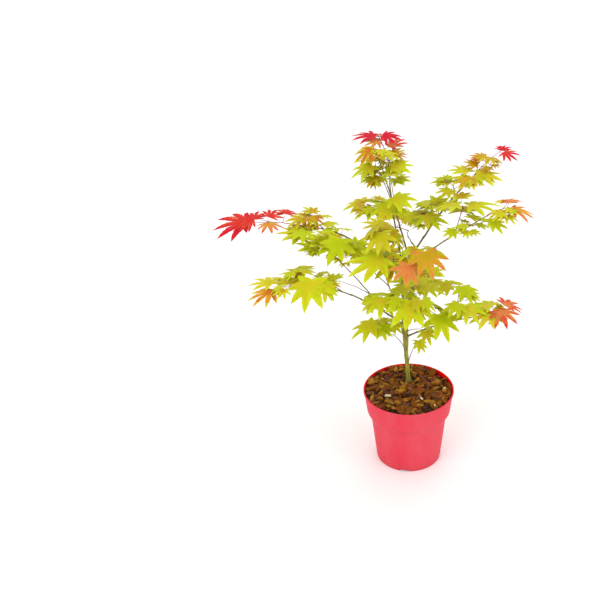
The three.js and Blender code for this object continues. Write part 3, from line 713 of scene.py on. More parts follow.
class Finish:
    """A procedural material: a Principled shader with the shared mottle on the piece's own coordinates."""

    def __init__(self, name, patch, grain, contrast, stretch=(1, 1, 1), specular=0.5):
        self.material = bpy.data.materials.new(name)
        self.material.use_nodes = True
        self.tree = self.material.node_tree
        self.link = self.tree.links.new
        self.shader = self.tree.nodes["Principled BSDF"]
        self.place = self.tree.nodes.new("ShaderNodeTexCoord").outputs["Object"]
        group = self.tree.nodes.new("ShaderNodeGroup")
        group.node_tree = mottle()
        self.link(self.place, group.inputs["Place"])
        for socket, value in (("Stretch", stretch), ("Patch scale", patch), ("Grain scale", grain)):
            group.inputs[socket].default_value = value
        group.inputs["Contrast"].default_value = contrast
        self.patches, self.grain, self.bumps = (group.outputs[key] for key in ("Patches", "Grain", "Height"))
        self.shader.inputs["Specular IOR Level"].default_value = specular

    def mixed(self, share, first, second):
        """A colour between two, by a mask. Each may be a plain colour or a socket."""
        mix = add_node(self.tree, "ShaderNodeMix", data_type="RGBA")
        for socket, value in ((mix.inputs[0], share), (mix.inputs[6], first), (mix.inputs[7], second)):
            if isinstance(value, bpy.types.NodeSocket):
                self.link(value, socket)
            else:
                socket.default_value = opaque(value)
        return mix.outputs[2]

    def faded(self, value, start, end, low=0.0, high=1.0):
        """A value that goes smoothly from low to high as another goes from start to end."""
        spread = add_node(self.tree, "ShaderNodeMapRange", interpolation_type="SMOOTHSTEP")
        self.link(value, spread.inputs["Value"])
        for name, number in (("From Min", start), ("From Max", end), ("To Min", low), ("To Max", high)):
            spread.inputs[name].default_value = number
        return spread.outputs["Result"]

    def height(self):
        """How high a place on the plant is, in metres."""
        parts = self.tree.nodes.new("ShaderNodeSeparateXYZ")
        self.link(self.place, parts.inputs[0])
        return parts.outputs["Z"]

    def product(self, first, second):
        times = add_node(self.tree, "ShaderNodeMath", operation="MULTIPLY")
        self.link(first, times.inputs[0])
        self.link(second, times.inputs[1])
        return times.outputs[0]

    def colour(self, value):
        if isinstance(value, bpy.types.NodeSocket):
            self.link(value, self.shader.inputs["Base Color"])
        else:
            self.shader.inputs["Base Color"].default_value = opaque(value)

    def uneven(self, rough_low, rough_high, depth):
        """Varies the roughness by the patches, and gives the grain a depth in metres."""
        rough = self.faded(self.patches, 0.0, 1.0, rough_low, rough_high)
        self.link(rough, self.shader.inputs["Roughness"])
        bump = add_node(self.tree, "ShaderNodeBump", Strength=1.0, Distance=depth)
        self.link(self.bumps, bump.inputs["Height"])
        self.link(bump.outputs["Normal"], self.shader.inputs["Normal"])

    def glow(self, weight, radius, scale):
        """Lets some light into the surface, as thin leaves and young bark do."""
        self.shader.inputs["Subsurface Weight"].default_value = weight
        self.shader.inputs["Subsurface Radius"].default_value = radius
        self.shader.inputs["Subsurface Scale"].default_value = scale


def colour_property(name, description, *shown):
    return FloatVectorProperty(
        name=name, description=description, default=srgb(*shown), subtype="COLOR", size=3, min=0, max=1
    )


def number_property(name, description, default, unit="NONE"):
    return FloatProperty(name=name, description=description, default=default, min=0, unit=unit)


def size_property(name, description, default):
    """A length that the user sees in scene units, given here in millimetres."""
    return number_property(name, description, default * MM, "LENGTH")


def share_property(name, description, default):
    return FloatProperty(name=name, description=description, default=default, min=0, max=1, subtype="FACTOR")


def count_property(name, description, default, least=1):
    return IntProperty(name=name, description=description, default=default, min=least)


def mm(value):
    return value / MM


# Pot


class MAPLE_PG_pot(bpy.types.PropertyGroup):
    """Sizes and colours of the pot."""

    rim_radius: size_property("Rim radius", "Outside radius of the rolled rim", 95)
    height: size_property("Height", "From the ground to the top of the rim", 168)
    foot_radius: size_property("Foot radius", "Outside radius at the ground", 68)
    waist_radius: size_property("Waist radius", "Outside radius below the shoulder", 78.8)
    shoulder_radius: size_property("Shoulder radius", "Outside radius where the collar starts", 88.2)
    wall: size_property("Wall", "Thickness of the wall", 2.6)
    floor: size_property("Floor", "Thickness of the floor", 7)
    notch_width: size_property("Notch width", "Width of each notch in the foot", 22)
    outside: colour_property("Outside", "Colour of the outside, paler than the inside", 219, 50, 71)
    inside: colour_property("Inside", "Colour of the inside wall", 250, 0, 4)


# In millimetres: the heights where skirt and collar end, how far the rolled rim stands out, how much the wall
# thins on its last way up, the rim's width in the outside's colour, and the notches and drain holes.
WAIST_HEIGHT = 101
SHOULDER_HEIGHT = 123.5
LIP = 1.2
THINNING = 1.2
THINS_OVER = 30
RIM_EDGE = 2.2
NOTCHES = {"count": 4, "first": 263, "inner": 42, "height": 4.6}
DRAIN = {"radius": 5, "from": 50}
# The pot's rounded corners: how far inside the foot's or the rim's radius, and how high or how far below the
# top. Then heights of rings up its plain walls.
FOOT_CORNER = ((2.2, 0), (0.9, 0.3), (0, 1.4))
RIM_CORNER = ((0.7, 4.3), (0, 3.5), (0, 1.3), (0.5, 0.3), (1.3, 0), (1.9, 0))
SKIRT_RINGS = (5, 30, 60, 90)
COLLAR_RINGS = (124, 136, 150)


def wall_radius(pot, height):
    """The outside radius at a height, without the rim: a leaning skirt, a rounded shoulder and a collar."""
    foot, waist, shoulder = (mm(r) for r in (pot.foot_radius, pot.waist_radius, pot.shoulder_radius))
    skirt = foot + (waist - foot) * height / WAIST_HEIGHT
    up = (height - SHOULDER_HEIGHT) / (mm(pot.height) - SHOULDER_HEIGHT)
    collar = shoulder + (mm(pot.rim_radius) - LIP - shoulder) * up
    share = min(max((height - WAIST_HEIGHT) / (SHOULDER_HEIGHT - WAIST_HEIGHT), 0), 1)
    return skirt + (collar - skirt) * share**3 * (10 - 15 * share + 6 * share * share)


def inner_radius(pot, height):
    """The inside radius at a height: the wall thins towards the rim."""
    thinned = THINNING * min(max((height - SHOULDER_HEIGHT) / THINS_OVER, 0), 1)
    return wall_radius(pot, height - 0.8) - mm(pot.wall) + thinned


def pot_stations(pot):
    """The pot's rings: up the outside, over the rolled rim, and down the inside to the floor."""
    top, foot, rim, floor = (mm(v) for v in (pot.height, pot.foot_radius, pot.rim_radius, pot.floor))
    outside = [*SKIRT_RINGS, *np.linspace(WAIST_HEIGHT, SHOULDER_HEIGHT, 11), *COLLAR_RINGS, top - 5.2]
    shoulder = np.linspace(SHOULDER_HEIGHT, WAIST_HEIGHT, 7)
    inside = [top - 0.8, *COLLAR_RINGS[::-1], *shoulder, 60, 30, floor + 3]
    stations = [(foot - inner, z) for inner, z in FOOT_CORNER]
    stations += [(wall_radius(pot, z), z) for z in outside]
    stations += [(rim - inner, top - under) for inner, under in RIM_CORNER]
    stations += [(inner_radius(pot, top) + 0.4, top - 0.1)]
    stations += [(inner_radius(pot, z), z) for z in inside]
    stations += [(inner_radius(pot, floor) - 2.5, floor), (20, floor)]
    return [(0, 0, z, radius) for radius, z in stations]


def pot_tool(shape, heading_angle):
    """A box for a notch in the foot or a round bar for a drain hole, turned to its heading."""
    bpy.ops.object.select_all(action="DESELECT")
    pot = bpy.context.scene.maple_pot
    if shape == "notch":
        length = mm(pot.foot_radius) + 10 - NOTCHES["inner"]
        size = (length * MM, pot.notch_width, 2 * NOTCHES["height"] * MM)
        out = NOTCHES["inner"] + length / 2
        bpy.ops.mesh.primitive_cube_add(size=1, scale=size, location=(out * MM, 0, 0))
    else:
        out = DRAIN["from"] + DRAIN["radius"]
        bpy.ops.mesh.primitive_cylinder_add(
            vertices=24, radius=DRAIN["radius"] * MM, depth=4 * pot.floor, location=(out * MM, 0, 0)
        )
    tool = bpy.context.object
    bpy.ops.object.transform_apply(location=True, rotation=True, scale=True)
    tool.data.transform(Matrix.Rotation(math.radians(heading_angle), 4, "Z"))
    return tool


PLASTIC_SPECULAR = 0.12
DUST = (160, 80, 66)
# The darker red that patches the inside wall low down, towards the bark.
LOW_DARK_RED = (120, 26, 20)


def pot_outside_finish(pot):
    """Matt moulded plastic: a little bloom in patches, and soil dust near the foot."""
    finish = Finish("pot_plastic_outside", 16, 900, 0.3, (1, 1, 0.45), PLASTIC_SPECULAR)
    body = finish.mixed(finish.patches, pot.outside, between(pot.outside, (1, 1, 1), 0.05))
    low = finish.faded(finish.height(), 0.03, 0.0, 0.0, 0.35)
    finish.colour(finish.mixed(finish.product(low, finish.grain), body, srgb(*DUST)))
    finish.uneven(0.5, 0.64, 0.00006)
    return finish.material


def pot_inside_finish(pot):
    """The same plastic where light doesn't bleach it, darker red in patches low on the wall towards the bark.
    """
    finish = Finish("pot_plastic_inside", 60, 420, 0.2, specular=PLASTIC_SPECULAR)
    # Darker red in patches, coming in over the 10 mm under the bark's top.
    darker_low = finish.faded(finish.height(), 0.166, 0.156, 0.0, 0.8)
    finish.colour(finish.mixed(finish.product(darker_low, finish.patches), pot.inside, srgb(*LOW_DARK_RED)))
    finish.uneven(0.34, 0.5, 0.00005)
    return finish.material


def shows_inside(face, pot):
    """Whether a face has the inside's colour: the wall within, the floor, and the rim's inner part."""
    place, facing = face.center, face.normal
    inward = facing.x * place.x + facing.y * place.y < -1e-4
    on_floor = abs(place.z - pot.floor) < 0.002 and facing.z > 0.5
    on_rim = place.z > pot.height - 0.001 and math.hypot(place.x, place.y) < pot.rim_radius - RIM_EDGE * MM
    return inward and place.z > 0.009 or on_floor or on_rim


class MAPLE_OT_pot(bpy.types.Operator):
    """Build the round nursery pot with its shoulder, rolled rim, foot notches and drain holes."""

    bl_idname = "maple.pot"
    bl_label = "Pot"

    def execute(self, context):
        pot = context.scene.maple_pot
        piece = lofted("nursery_pot", 128, pot_stations(pot))
        for i in range(NOTCHES["count"]):
            turn = NOTCHES["first"] + 360 / NOTCHES["count"] * i
            cut(piece, pot_tool("notch", turn))
            cut(piece, pot_tool("drain", turn))
        sharp = math.radians(40)
        applied(piece, "BEVEL", width=0.4 * MM, segments=2, limit_method="ANGLE", angle_limit=sharp)
        dress(piece.data, pot_outside_finish(pot), pot_inside_finish(pot))
        for face in piece.data.polygons:
            face.material_index = int(shows_inside(face, pot))
        keep(smoothed(piece, 35), "pot", "pot")
        return {"FINISHED"}


# Soil and bark


class MAPLE_PG_fill(bpy.types.PropertyGroup):
    """Sizes and colours of the bark on the soil."""

    chips: count_property("Chips", "How many bark chips lie on the soil", 400)
    chip_length: size_property("Chip length", "Length of a middling chip", 18.5)
    seed: count_property("Seed", "Starts the throws that lay the chips", 20011)
    brown: colour_property("Brown", "Colour of most chips", 144, 86, 26)
    ochre: colour_property("Ochre", "Colour of fresh chips", 184, 130, 44)
    rust: colour_property("Rust", "Colour of reddish chips", 164, 84, 38)
    plum: colour_property("Plum", "Colour of weathered chips", 128, 78, 58)
    dark: colour_property("Dark", "Colour of damp chips and of the soil", 78, 44, 20)
    pale: colour_property("Pale", "Colour of a bare wood chip", 244, 220, 176)


# The bark's surface in millimetres: its height at the trunk's foot, how far round that it is level, and how
# it falls towards the wall all round and at the back right.
GROUND = 166
FOOT = (0, 32)
LEVEL_ROUND_TRUNK = 14
BED_RADIUS = 95
EDGE_FALL = 1.5
BACK_FALL = {"heading": 46, "depth": 9, "narrow": 11, "steep": 3}
BED_BOTTOM = 148.6
# Chips are laid in a spiral out to a distance from the middle. Their lengths are shares of the middling one,
# and their widths shares of the length. Every third lies in the upper layer, where chips tilt more.
CHIPS_OUT = 88
GOLDEN_TURN = math.radians(137.508)
CHIP_LENGTHS = (0.5, 1.5)
CHIP_WIDTHS = (0.3, 0.6)
CHIP_THICKNESSES = (1.6, 4.2)
LOWER_LAYER = {"tilt": 14, "up": -1.2}
UPPER_LAYER = {"tilt": 24, "up": 1.8}
UNEVEN_LAYER = (-0.8, 1.1)
CLEAR_OF_TRUNK = 6
# How often each of the five colours is dealt to a chip.
CHIP_KINDS = (0, 1, 2, 3, 0, 1, 4, 0, 3, 0)
# Bare wood chips: place, length, width and turn, and their thickness and height over the bark.
PALE_CHIPS = ((-43, -28, 17, 8.5, -10), (27, -37, 12, 4, -58), (54, -60, 8, 3.6, -66), (76, 2, 9, 4, 60))
PALE_THICKNESS = 2.5
PALE_UP = 4
# How far chips at the wall stand over the bed's own level, from which distance out, how much more they do at
# the back left, and how far a chip's top may stand over the rim.
HEAPED = {"from": 70, "by": 2.5}
BACK_HEAP = {"heading": 112, "by": 11, "narrow": 2}
OVER_RIM = 2.6


def ground_at(x, y):
    """Height of the bark at a place: level round the trunk, falling to the wall, most at the back right."""
    out = max(math.hypot(x - FOOT[0], y - FOOT[1]) - LEVEL_ROUND_TRUNK, 0) / BED_RADIUS
    turn = math.atan2(y, x) - math.radians(BACK_FALL["heading"])
    facing = max(math.cos(turn), 0) ** BACK_FALL["narrow"]
    fall = BACK_FALL["depth"] * facing * (math.hypot(x, y) / BED_RADIUS) ** BACK_FALL["steep"]
    return GROUND - EDGE_FALL * out * out - fall


def bark_bed(pot):
    """The closed layer under the chips, with a lumpy top."""
    wall = inner_radius(pot, 152) - 0.4
    rings = [(0, 0, BED_BOTTOM, wall), (0, 0, BED_BOTTOM + 4, inner_radius(pot, BED_BOTTOM + 4) - 0.4)]
    rings.append((0, 0, GROUND, inner_radius(pot, GROUND) - 0.4))
    rings += [(0, 0, GROUND, radius) for radius in range(84, 3, -5)]
    piece = lofted("bark_bed", 96, rings)
    for point in piece.data.vertices:
        x, y, z = (mm(c) for c in point.co)
        if z < GROUND - 1:
            continue
        height = ground_at(x, y) - 3 + 1.4 * hash_noise((x, y, 0), 6) + 0.6 * hash_noise((x, y, 9), 2.5)
        squeeze = min((inner_radius(pot, height) - 0.5) / (math.hypot(x, y) or 1), 1)
        point.co = Vector((x * squeeze, y * squeeze, height)) * MM
    return piece


def chip(throw, length, width, thick):
    """An irregular slab of bark in its own axes: three rings of corners that make its worn edges."""
    corners = 5 + int(throw(0, 3.999))
    turns = [2 * math.pi * (k + throw(-0.28, 0.28)) / corners for k in range(corners)]
    outline = []
    for turn in turns:
        square = 1 / max(abs(math.cos(turn)), abs(math.sin(turn))) ** 0.6
        reach = square * throw(0.8, 1.08)
        outline.append((0.5 * length * reach * math.cos(turn), 0.5 * width * reach * math.sin(turn)))
    bend = throw(-0.03, 0.05)
    points = []
    for share, level in ((0.82, -0.5), (1.0, throw(-0.1, 0.2)), (throw(0.72, 0.9), 0.5)):
        for x, y in outline:
            points.append((x * share, y * share, thick * (level + throw(-0.1, 0.1)) - bend * x * x / length))
    faces = [tuple(range(corners - 1, -1, -1)), tuple(range(2 * corners, 3 * corners))]
    for ring in (0, corners):
        low, high = ring, ring + corners
        for k in range(corners):
            after = (k + 1) % corners
            faces.append((low + k, low + after, high + after, high + k))
    return np.array(points), faces


def turned(throw, tilt):
    """A random turn about the upright with a small tilt, in degrees."""
    lean = Matrix.Rotation(math.radians(throw(-tilt, tilt)), 3, "X")
    lean = lean @ Matrix.Rotation(math.radians(throw(-tilt, tilt)), 3, "Y")
    return np.array(Matrix.Rotation(throw(0, 2 * math.pi), 3, "Z") @ lean)


def heaped(out, turn):
    """How far chips stand over the bed's own level, at a distance out and a turn from +X."""
    at_back = max(math.cos(turn - math.radians(BACK_HEAP["heading"])), 0) ** BACK_HEAP["narrow"]
    share = max(out - HEAPED["from"], 0)
    return (HEAPED["by"] + BACK_HEAP["by"] * at_back) * share / (CHIPS_OUT - HEAPED["from"])


def lay_chips(pot, fill):
    """Chips in two layers over the whole bed, none through the wall or the trunk."""
    throw = dice(fill.seed)
    heap = Heap()
    for i in range(fill.chips):
        out, turn = CHIPS_OUT * math.sqrt((i + 0.5) / fill.chips), i * GOLDEN_TURN + throw(-0.3, 0.3)
        x, y = out * math.cos(turn), out * math.sin(turn)
        length = mm(fill.chip_length) * throw(*CHIP_LENGTHS)
        width = length * throw(*CHIP_WIDTHS)
        layer = LOWER_LAYER if i % 3 else UPPER_LAYER
        points, faces = chip(throw, length, width, throw(*CHIP_THICKNESSES))
        points = points @ turned(throw, layer["tilt"]).T
        if math.hypot(x - FOOT[0], y - FOOT[1]) < CLEAR_OF_TRUNK + 0.3 * length:
            continue
        up = ground_at(x, y) + heaped(out, turn) + layer["up"] + throw(*UNEVEN_LAYER)
        points += (x, y, up)
        points[:, 2] -= max(points[:, 2].max() - mm(pot.height) - OVER_RIM, 0)
        reach = np.hypot(points[:, 0], points[:, 1])
        limit = inner_radius(pot, points[:, 2].min()) - 0.3
        if reach.max() > limit:
            points[:, :2] -= np.array((x, y)) / out * (reach.max() - limit)
        heap.add(points, faces, CHIP_KINDS[int(throw(0, len(CHIP_KINDS) - 0.001))])
    for x, y, length, width, turn in PALE_CHIPS:
        points, faces = chip(throw, length, width, PALE_THICKNESS)
        lie = np.array(Matrix.Rotation(math.radians(turn), 3, "Z"))
        heap.add(points @ lie.T + (x, y, ground_at(x, y) + PALE_UP), faces, len(CHIP_FINISHES) - 1)
    return heap


# Finishes of the chips, numbered as in CHIP_KINDS, with the bare wood last: name, colour, shade of streaks.
CHIP_FINISHES = (
    ("bark_brown", "brown", 0.6),
    ("bark_ochre", "ochre", 0.6),
    ("bark_rust", "rust", 0.55),
    ("bark_plum", "plum", 0.6),
    ("bark_damp", "dark", 0.5),
    ("wood_pale", "pale", 0.8),
)
DULL_SPECULAR = 0.06


def chip_finish(name, tone, shade):
    """Fibrous bark: darker streaks and pits in the chip's own colour, dull and rough."""
    finish = Finish(name, 60, 520, 0.16, (1, 1, 2.2), DULL_SPECULAR)
    streaked = finish.mixed(finish.patches, tone, shaded(tone, shade))
    pits = finish.faded(finish.grain, 0.55, 1.0, 0.0, 0.6)
    finish.colour(finish.mixed(pits, streaked, shaded(tone, 0.3)))
    finish.uneven(0.72, 0.95, 0.0007)
    return finish.material


def soil_finish(fill):
    """Damp potting soil with crumbs and paler bits."""
    finish = Finish("potting_soil_crumbs", 90, 600, 0.12)
    crumbs = finish.mixed(finish.patches, fill.dark, shaded(fill.dark, 0.45))
    bits = finish.faded(finish.grain, 0.85, 1.0, 0.0, 0.5)
    finish.colour(finish.mixed(bits, crumbs, fill.brown))
    finish.uneven(0.85, 1.0, 0.001)
    return finish.material


class MAPLE_OT_fill(bpy.types.Operator):
    """Finish the potting soil and lay the bark chips on it."""

    bl_idname = "maple.fill"
    bl_label = "Soil and bark"

    def execute(self, context):
        pot, fill = context.scene.maple_pot, context.scene.maple_fill
        dress(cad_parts["potting_soil"].data, soil_finish(fill))
        finishes = [chip_finish(name, getattr(fill, tone), shade) for name, tone, shade in CHIP_FINISHES]
        chips = lay_chips(pot, fill).piece("bark_chips", finishes, smooth=24)
        bed = bark_bed(pot)
        dress(bed.data, soil_finish(fill))
        choose(bed)
        bpy.ops.object.shade_smooth()
        chips.select_set(True)
        bpy.context.view_layer.objects.active = chips
        bpy.ops.object.join()
        keep(chips, "bark_mulch", "bark_mulch")
        return {"FINISHED"}


# Trunk, boughs and twigs


class MAPLE_PG_growth(bpy.types.PropertyGroup):
    """How the plant grows, and the colours of its wood."""

    seed: count_property("Seed", "Starts the throws that place the leaves", 20011)
    twigs: count_property("Side twigs", "Finer twigs tried on each spray", 2, least=0)
    relief: share_property("Bark relief", "How deep the bark's streaks and pores are", 0.5)
    green: colour_property("Green bark", "Colour of the trunk's young bark", 170, 172, 50)
    olive: colour_property("Olive bark", "Colour of its shaded streaks", 134, 134, 36)
    brown: colour_property("Brown bark", "Colour of the graft and the oldest bark", 156, 124, 50)
    bough: colour_property("Bough", "Colour of the boughs", 98, 74, 44)
    dead: colour_property("Dead wood", "Colour of the dead twigs", 150, 136, 118)
    twig: colour_property("Twig", "Colour of the twigs", 138, 84, 58)
    stalk: colour_property("Leaf stalk", "Colour of the leaf stalks", 196, 108, 84)


# Places on the trunk in millimetres: from where to where the graft is corky, its seam, the swelling over it,
# and knots of pruned twigs, as place and size.
GRAFT = (262, 300)
SEAM = 281
UNION = {"at": 308, "over": 14, "wider": 2.8}
KNOTS = ((-12.4, 22.6, 306, 3.2), (-8.6, 25.2, 248, 2.6), (2.0, 21.5, 344, 2.0), (-14.5, 17.5, 396, 1.8))
KNOT_COLOUR = (62, 44, 30)
RING_STEP = 4.5
UNDER_BARK = {"down": 2.5, "wider": 1.12}


@functools.cache
def trunk_rows():
    """The trunk's stations drawn out finely: height, x, y and radius."""
    at = spline(TRUNK)
    return np.array([at(t) for t in np.linspace(0, 1, 400)])


def trunk_at(height, *columns):
    rows = trunk_rows()
    return [float(np.interp(height, rows[:, 0], rows[:, k])) for k in columns]


def trunk_stations():
    """Rings up the trunk every few millimetres, starting a little under the bark."""
    rings = [trunk_at(z, 1, 2, 0, 3) for z in np.arange(TRUNK[0][0], TRUNK[-1][0], RING_STEP)]
    for ring in rings:
        ring[3] += UNION["wider"] * bell(ring[2] - UNION["at"], UNION["over"])
    x, y, z, radius = rings[0]
    return [(x, y, z - UNDER_BARK["down"], radius * UNDER_BARK["wider"]), *rings]


def trunk_relief(point, centre, growth):
    """How far a point of the bark moves out from the trunk's middle, in millimetres."""
    x, y, z = point
    turn = math.atan2(y - centre[1], x - centre[0])
    flare = 0.9 * math.exp(-max(z - 165, 0) / 7) * math.cos(5 * turn + 0.6)
    streaks = 0.34 * hash_noise((x, y, z * 0.16), 1.6) + 0.2 * hash_noise((x, y, z * 0.5), 0.8, 3)
    lumps = 0.35 * hash_noise(point, 14, 7)
    graft = 0.0
    if GRAFT[0] - 6 < z < GRAFT[1] + 10:
        seam = SEAM + 6 * math.sin(turn - 0.8)
        graft = 0.7 * bell(z - seam - 5, 3.5) - 0.5 * bell(z - seam, 1.6)
    knots = 0.0
    for kx, ky, kz, size in KNOTS:
        away = math.dist(point, (kx, ky, kz)) / size
        knots += 0.42 * size * math.exp(-away * away * 1.4) - 0.3 * size * math.exp(-away * away * 9)
    return 2 * growth.relief * (streaks + lumps) + flare + graft + knots


def trunk_piece(growth):
    """The trunk drawn up ring by ring, subdivided, with the bark's relief moved in by code."""
    piece = lofted("trunk_bark", 26, trunk_stations())
    applied(piece, "SUBSURF", levels=1, render_levels=1)
    for point in piece.data.vertices:
        place = [mm(c) for c in point.co]
        centre = trunk_at(place[2], 1, 2)
        out = Vector((place[0] - centre[0], place[1] - centre[1], 0))
        if out.length > 0.5:
            point.co += out.normalized() * trunk_relief(place, centre, growth) * MM
    return smoothed(piece, 60)


def swollen(limb, t, rings, length):
    """How much thicker a limb is at a place: a collar where it leaves its parent, and a ring at each node."""
    collar = 0.55 * math.exp(-t * length / 3.5)
    return 1 + collar + sum(0.3 * bell((t - ring) * length, 1.5) for ring in rings)


def draw_limb(heap, limb, sides, every, tone, rings, wobble=0.0, seed=0):
    """Adds a tapering limb with node rings and a slight wander to a heap."""
    length = limb.length()
    shares = np.linspace(0, 1, max(4, round(length / every)) + 1)
    centres = np.array([limb.path(t) for t in shares])
    for k in range(3):
        drift = [hash_noise((t * length, 13 * k, seed), 17) for t in shares]
        centres[:, k] += wobble * np.array(drift) * np.sin(math.pi * shares)
    radii = [0.86 * limb.radius(t) * swollen(limb, t, rings, length) for t in shares]
    radii[-1] *= 0.75
    heap.add(*tube(centres, radii, sides), tone)


def draw_bud(heap, place, toward, size, tone):
    """Adds a small pointed bud to a heap."""
    shares = np.array((-0.3, 0.4, 1.2, 2.0, 2.7))
    centres = place + np.outer(shares * size, unit(toward))
    heap.add(*tube(centres, np.array((0.7, 1.0, 0.95, 0.6, 0.12)) * size, 5), tone)


def node_rings(limb, step, throw):
    """Places of the nodes up a limb, a step in millimetres apart on the average."""
    length = limb.length()
    place, rings = throw(0.4, 1) * step, []
    while place < length - 4:
        rings.append(place / length)
        place += step * throw(0.75, 1.25)
    return rings


def wood_finish(name, main, second, patch, depth):
    """Thin bark: long streaks of a second colour, with corky pores."""
    finish = Finish(name, patch, 700, 0.17, (1, 1, 0.22))
    streaked = finish.mixed(finish.patches, main, second)
    pores = finish.faded(finish.grain, 0.72, 1.0, 0.0, 0.45)
    finish.colour(finish.mixed(pores, streaked, shaded(second, 0.45)))
    finish.uneven(0.45, 0.68, depth)
    return finish


def trunk_finish(growth):
    """Green young bark in olive streaks, browner round the graft, dark at the knots, and painted shade at the
    foot.
    """
    finish = wood_finish("trunk_green_bark", growth.green, growth.olive, 210, 0.0005)
    green = finish.shader.inputs["Base Color"].links[0].from_socket
    height = finish.height()
    over = finish.faded(height, (GRAFT[0] - 10) * MM, (GRAFT[0] + 6) * MM)
    under = finish.faded(height, (GRAFT[1] + 8) * MM, (GRAFT[1] - 8) * MM)
    corky = finish.product(finish.product(over, under), finish.patches)
    colour = finish.mixed(finish.faded(corky, 0, 1, 0, 0.4), green, growth.brown)
    # Painted shade: a darker brown over the last 14 mm above the bark chips, where the trunk goes into them.
    foot = finish.faded(height, 0.180, 0.166, 0.0, 0.6)
    colour = finish.mixed(foot, colour, shaded(growth.brown, 0.5))
    for x, y, z, size in KNOTS:
        away = add_node(finish.tree, "ShaderNodeVectorMath", operation="DISTANCE")
        finish.link(finish.place, away.inputs[0])
        away.inputs[1].default_value = (x * MM, y * MM, z * MM)
        dark = finish.faded(away.outputs["Value"], size * 0.9 * MM, size * 0.5 * MM, 0.0, 0.9)
        colour = finish.mixed(dark, colour, srgb(*KNOT_COLOUR))
    finish.colour(colour)
    return finish.material


class MAPLE_OT_trunk(bpy.types.Operator):
    """Draw the trunk up from its flared foot over the graft to its fork, with the bark's relief."""

    bl_idname = "maple.trunk"
    bl_label = "Trunk"

    def execute(self, context):
        growth = context.scene.maple_growth
        piece = trunk_piece(growth)
        dress(piece.data, trunk_finish(growth))
        keep(piece, "trunk_bark", "trunk")
        return {"FINISHED"}


class MAPLE_OT_boughs(bpy.types.Operator):
    """Grow the leader, the boughs, the branches and the two dead twigs, with their nodes and buds."""

    bl_idname = "maple.boughs"
    bl_label = "Boughs"

    def execute(self, context):
        growth = context.scene.maple_growth
        limbs = grown_plant(growth.seed, growth.twigs)[0]
        heap = Heap()
        throw = dice(growth.seed + SEED_OF["boughs"])
        for seed, (name, *_) in enumerate(LIMBS):
            limb, dead = limbs[name], name.startswith("dead")
            rings = node_rings(limb, 12 if dead else 30, throw)
            draw_limb(heap, limb, 8 if dead else 12, 2.4, int(dead), rings, 0.3 if dead else 1.2, seed)
            for ring in rings:
                side = unit(np.cross(limb.toward(ring), heading(throw(0, 360), throw(-30, 60))))
                for turn in (1, -1):
                    place = limb.path(ring) + side * turn * limb.radius(ring) * 0.9
                    draw_bud(heap, place, limb.toward(ring) + side * turn * 0.9, throw(0.45, 0.7), int(dead))
            if dead:
                draw_bud(heap, limb.path(1), limb.toward(1), 0.9, 1)
        finishes = [
            wood_finish("bough_bark", growth.bough, growth.olive, 260, 0.0003).material,
            wood_finish("dead_wood", growth.dead, shaded(growth.dead, 0.6), 320, 0.0003).material,
        ]
        keep(heap.piece("boughs", finishes, smooth=50), "bough_bark", *(row[0] for row in LIMBS))
        return {"FINISHED"}


# Which of the three twig and stalk finishes each tint has: plain, reddened or green.
WOOD_OF_TINT = {"crimson": 1, "coral": 1, "ember": 0, "amber": 0, "gold": 0, "olive": 0, "lime": 2}
RED_TWIG = (186, 70, 62)
# The stalks' finishes, in the same order, and the colours that they lean to.
STALKS = (("stalk_pink", None), ("stalk_red", (204, 56, 58)), ("stalk_green", (168, 150, 66)))
STALK_LEAN = 0.65
# A stalk's radii from its twig to its leaf, in shares that grow with the leaf.
STALK_RADII = (0.85, 0.6, 0.5, 0.46, 0.46, 0.4)


def masses(tint=None):
    """Names of the CAD's masses of leaves, all or those of a tint."""
    return ["leaves_" + row[0] for row in SPRAYS if tint in (None, tint_of(row[0]))]


class MAPLE_OT_twigs(bpy.types.Operator):
    """Grow the stems of the sprays and their finer side twigs on from the boughs."""

    bl_idname = "maple.twigs"
    bl_label = "Twigs"

    def execute(self, context):
        growth = context.scene.maple_growth
        _, sprays, twigs, _ = grown_plant(growth.seed, growth.twigs)
        heap = Heap()
        tones = {spray.name: WOOD_OF_TINT[spray.tint] for spray in sprays}
        throw = dice(growth.seed + SEED_OF["twigs"])
        for seed, spray in enumerate(sprays):
            tone = tones[spray.name]
            draw_limb(heap, spray, 8, 2.6, tone, [t for t in spray.nodes if t < 0.98], 0.7, seed)
            draw_bud(heap, spray.path(1), spray.toward(1), 0.8, tone)
        for seed, twig in enumerate(twigs):
            tone = tones[twig.name]
            draw_limb(heap, twig, 6, 3, tone, [], 0.3, 100 + seed)
            draw_bud(heap, twig.path(1), twig.toward(1) + heading(throw(0, 360), 0) * 0.2, 0.6, tone)
        red = between(growth.twig, srgb(*RED_TWIG), 0.55)
        finishes = [
            wood_finish(name, main, second, 300, 0.0002).material
            for name, main, second in (
                ("twig_bark", growth.twig, shaded(growth.twig, 0.6)),
                ("twig_red_bark", red, growth.twig),
                ("twig_green_bark", growth.olive, growth.twig),
            )
        ]
        keep(heap.piece("twigs", finishes, smooth=60), "bough_bark", *masses())
        return {"FINISHED"}


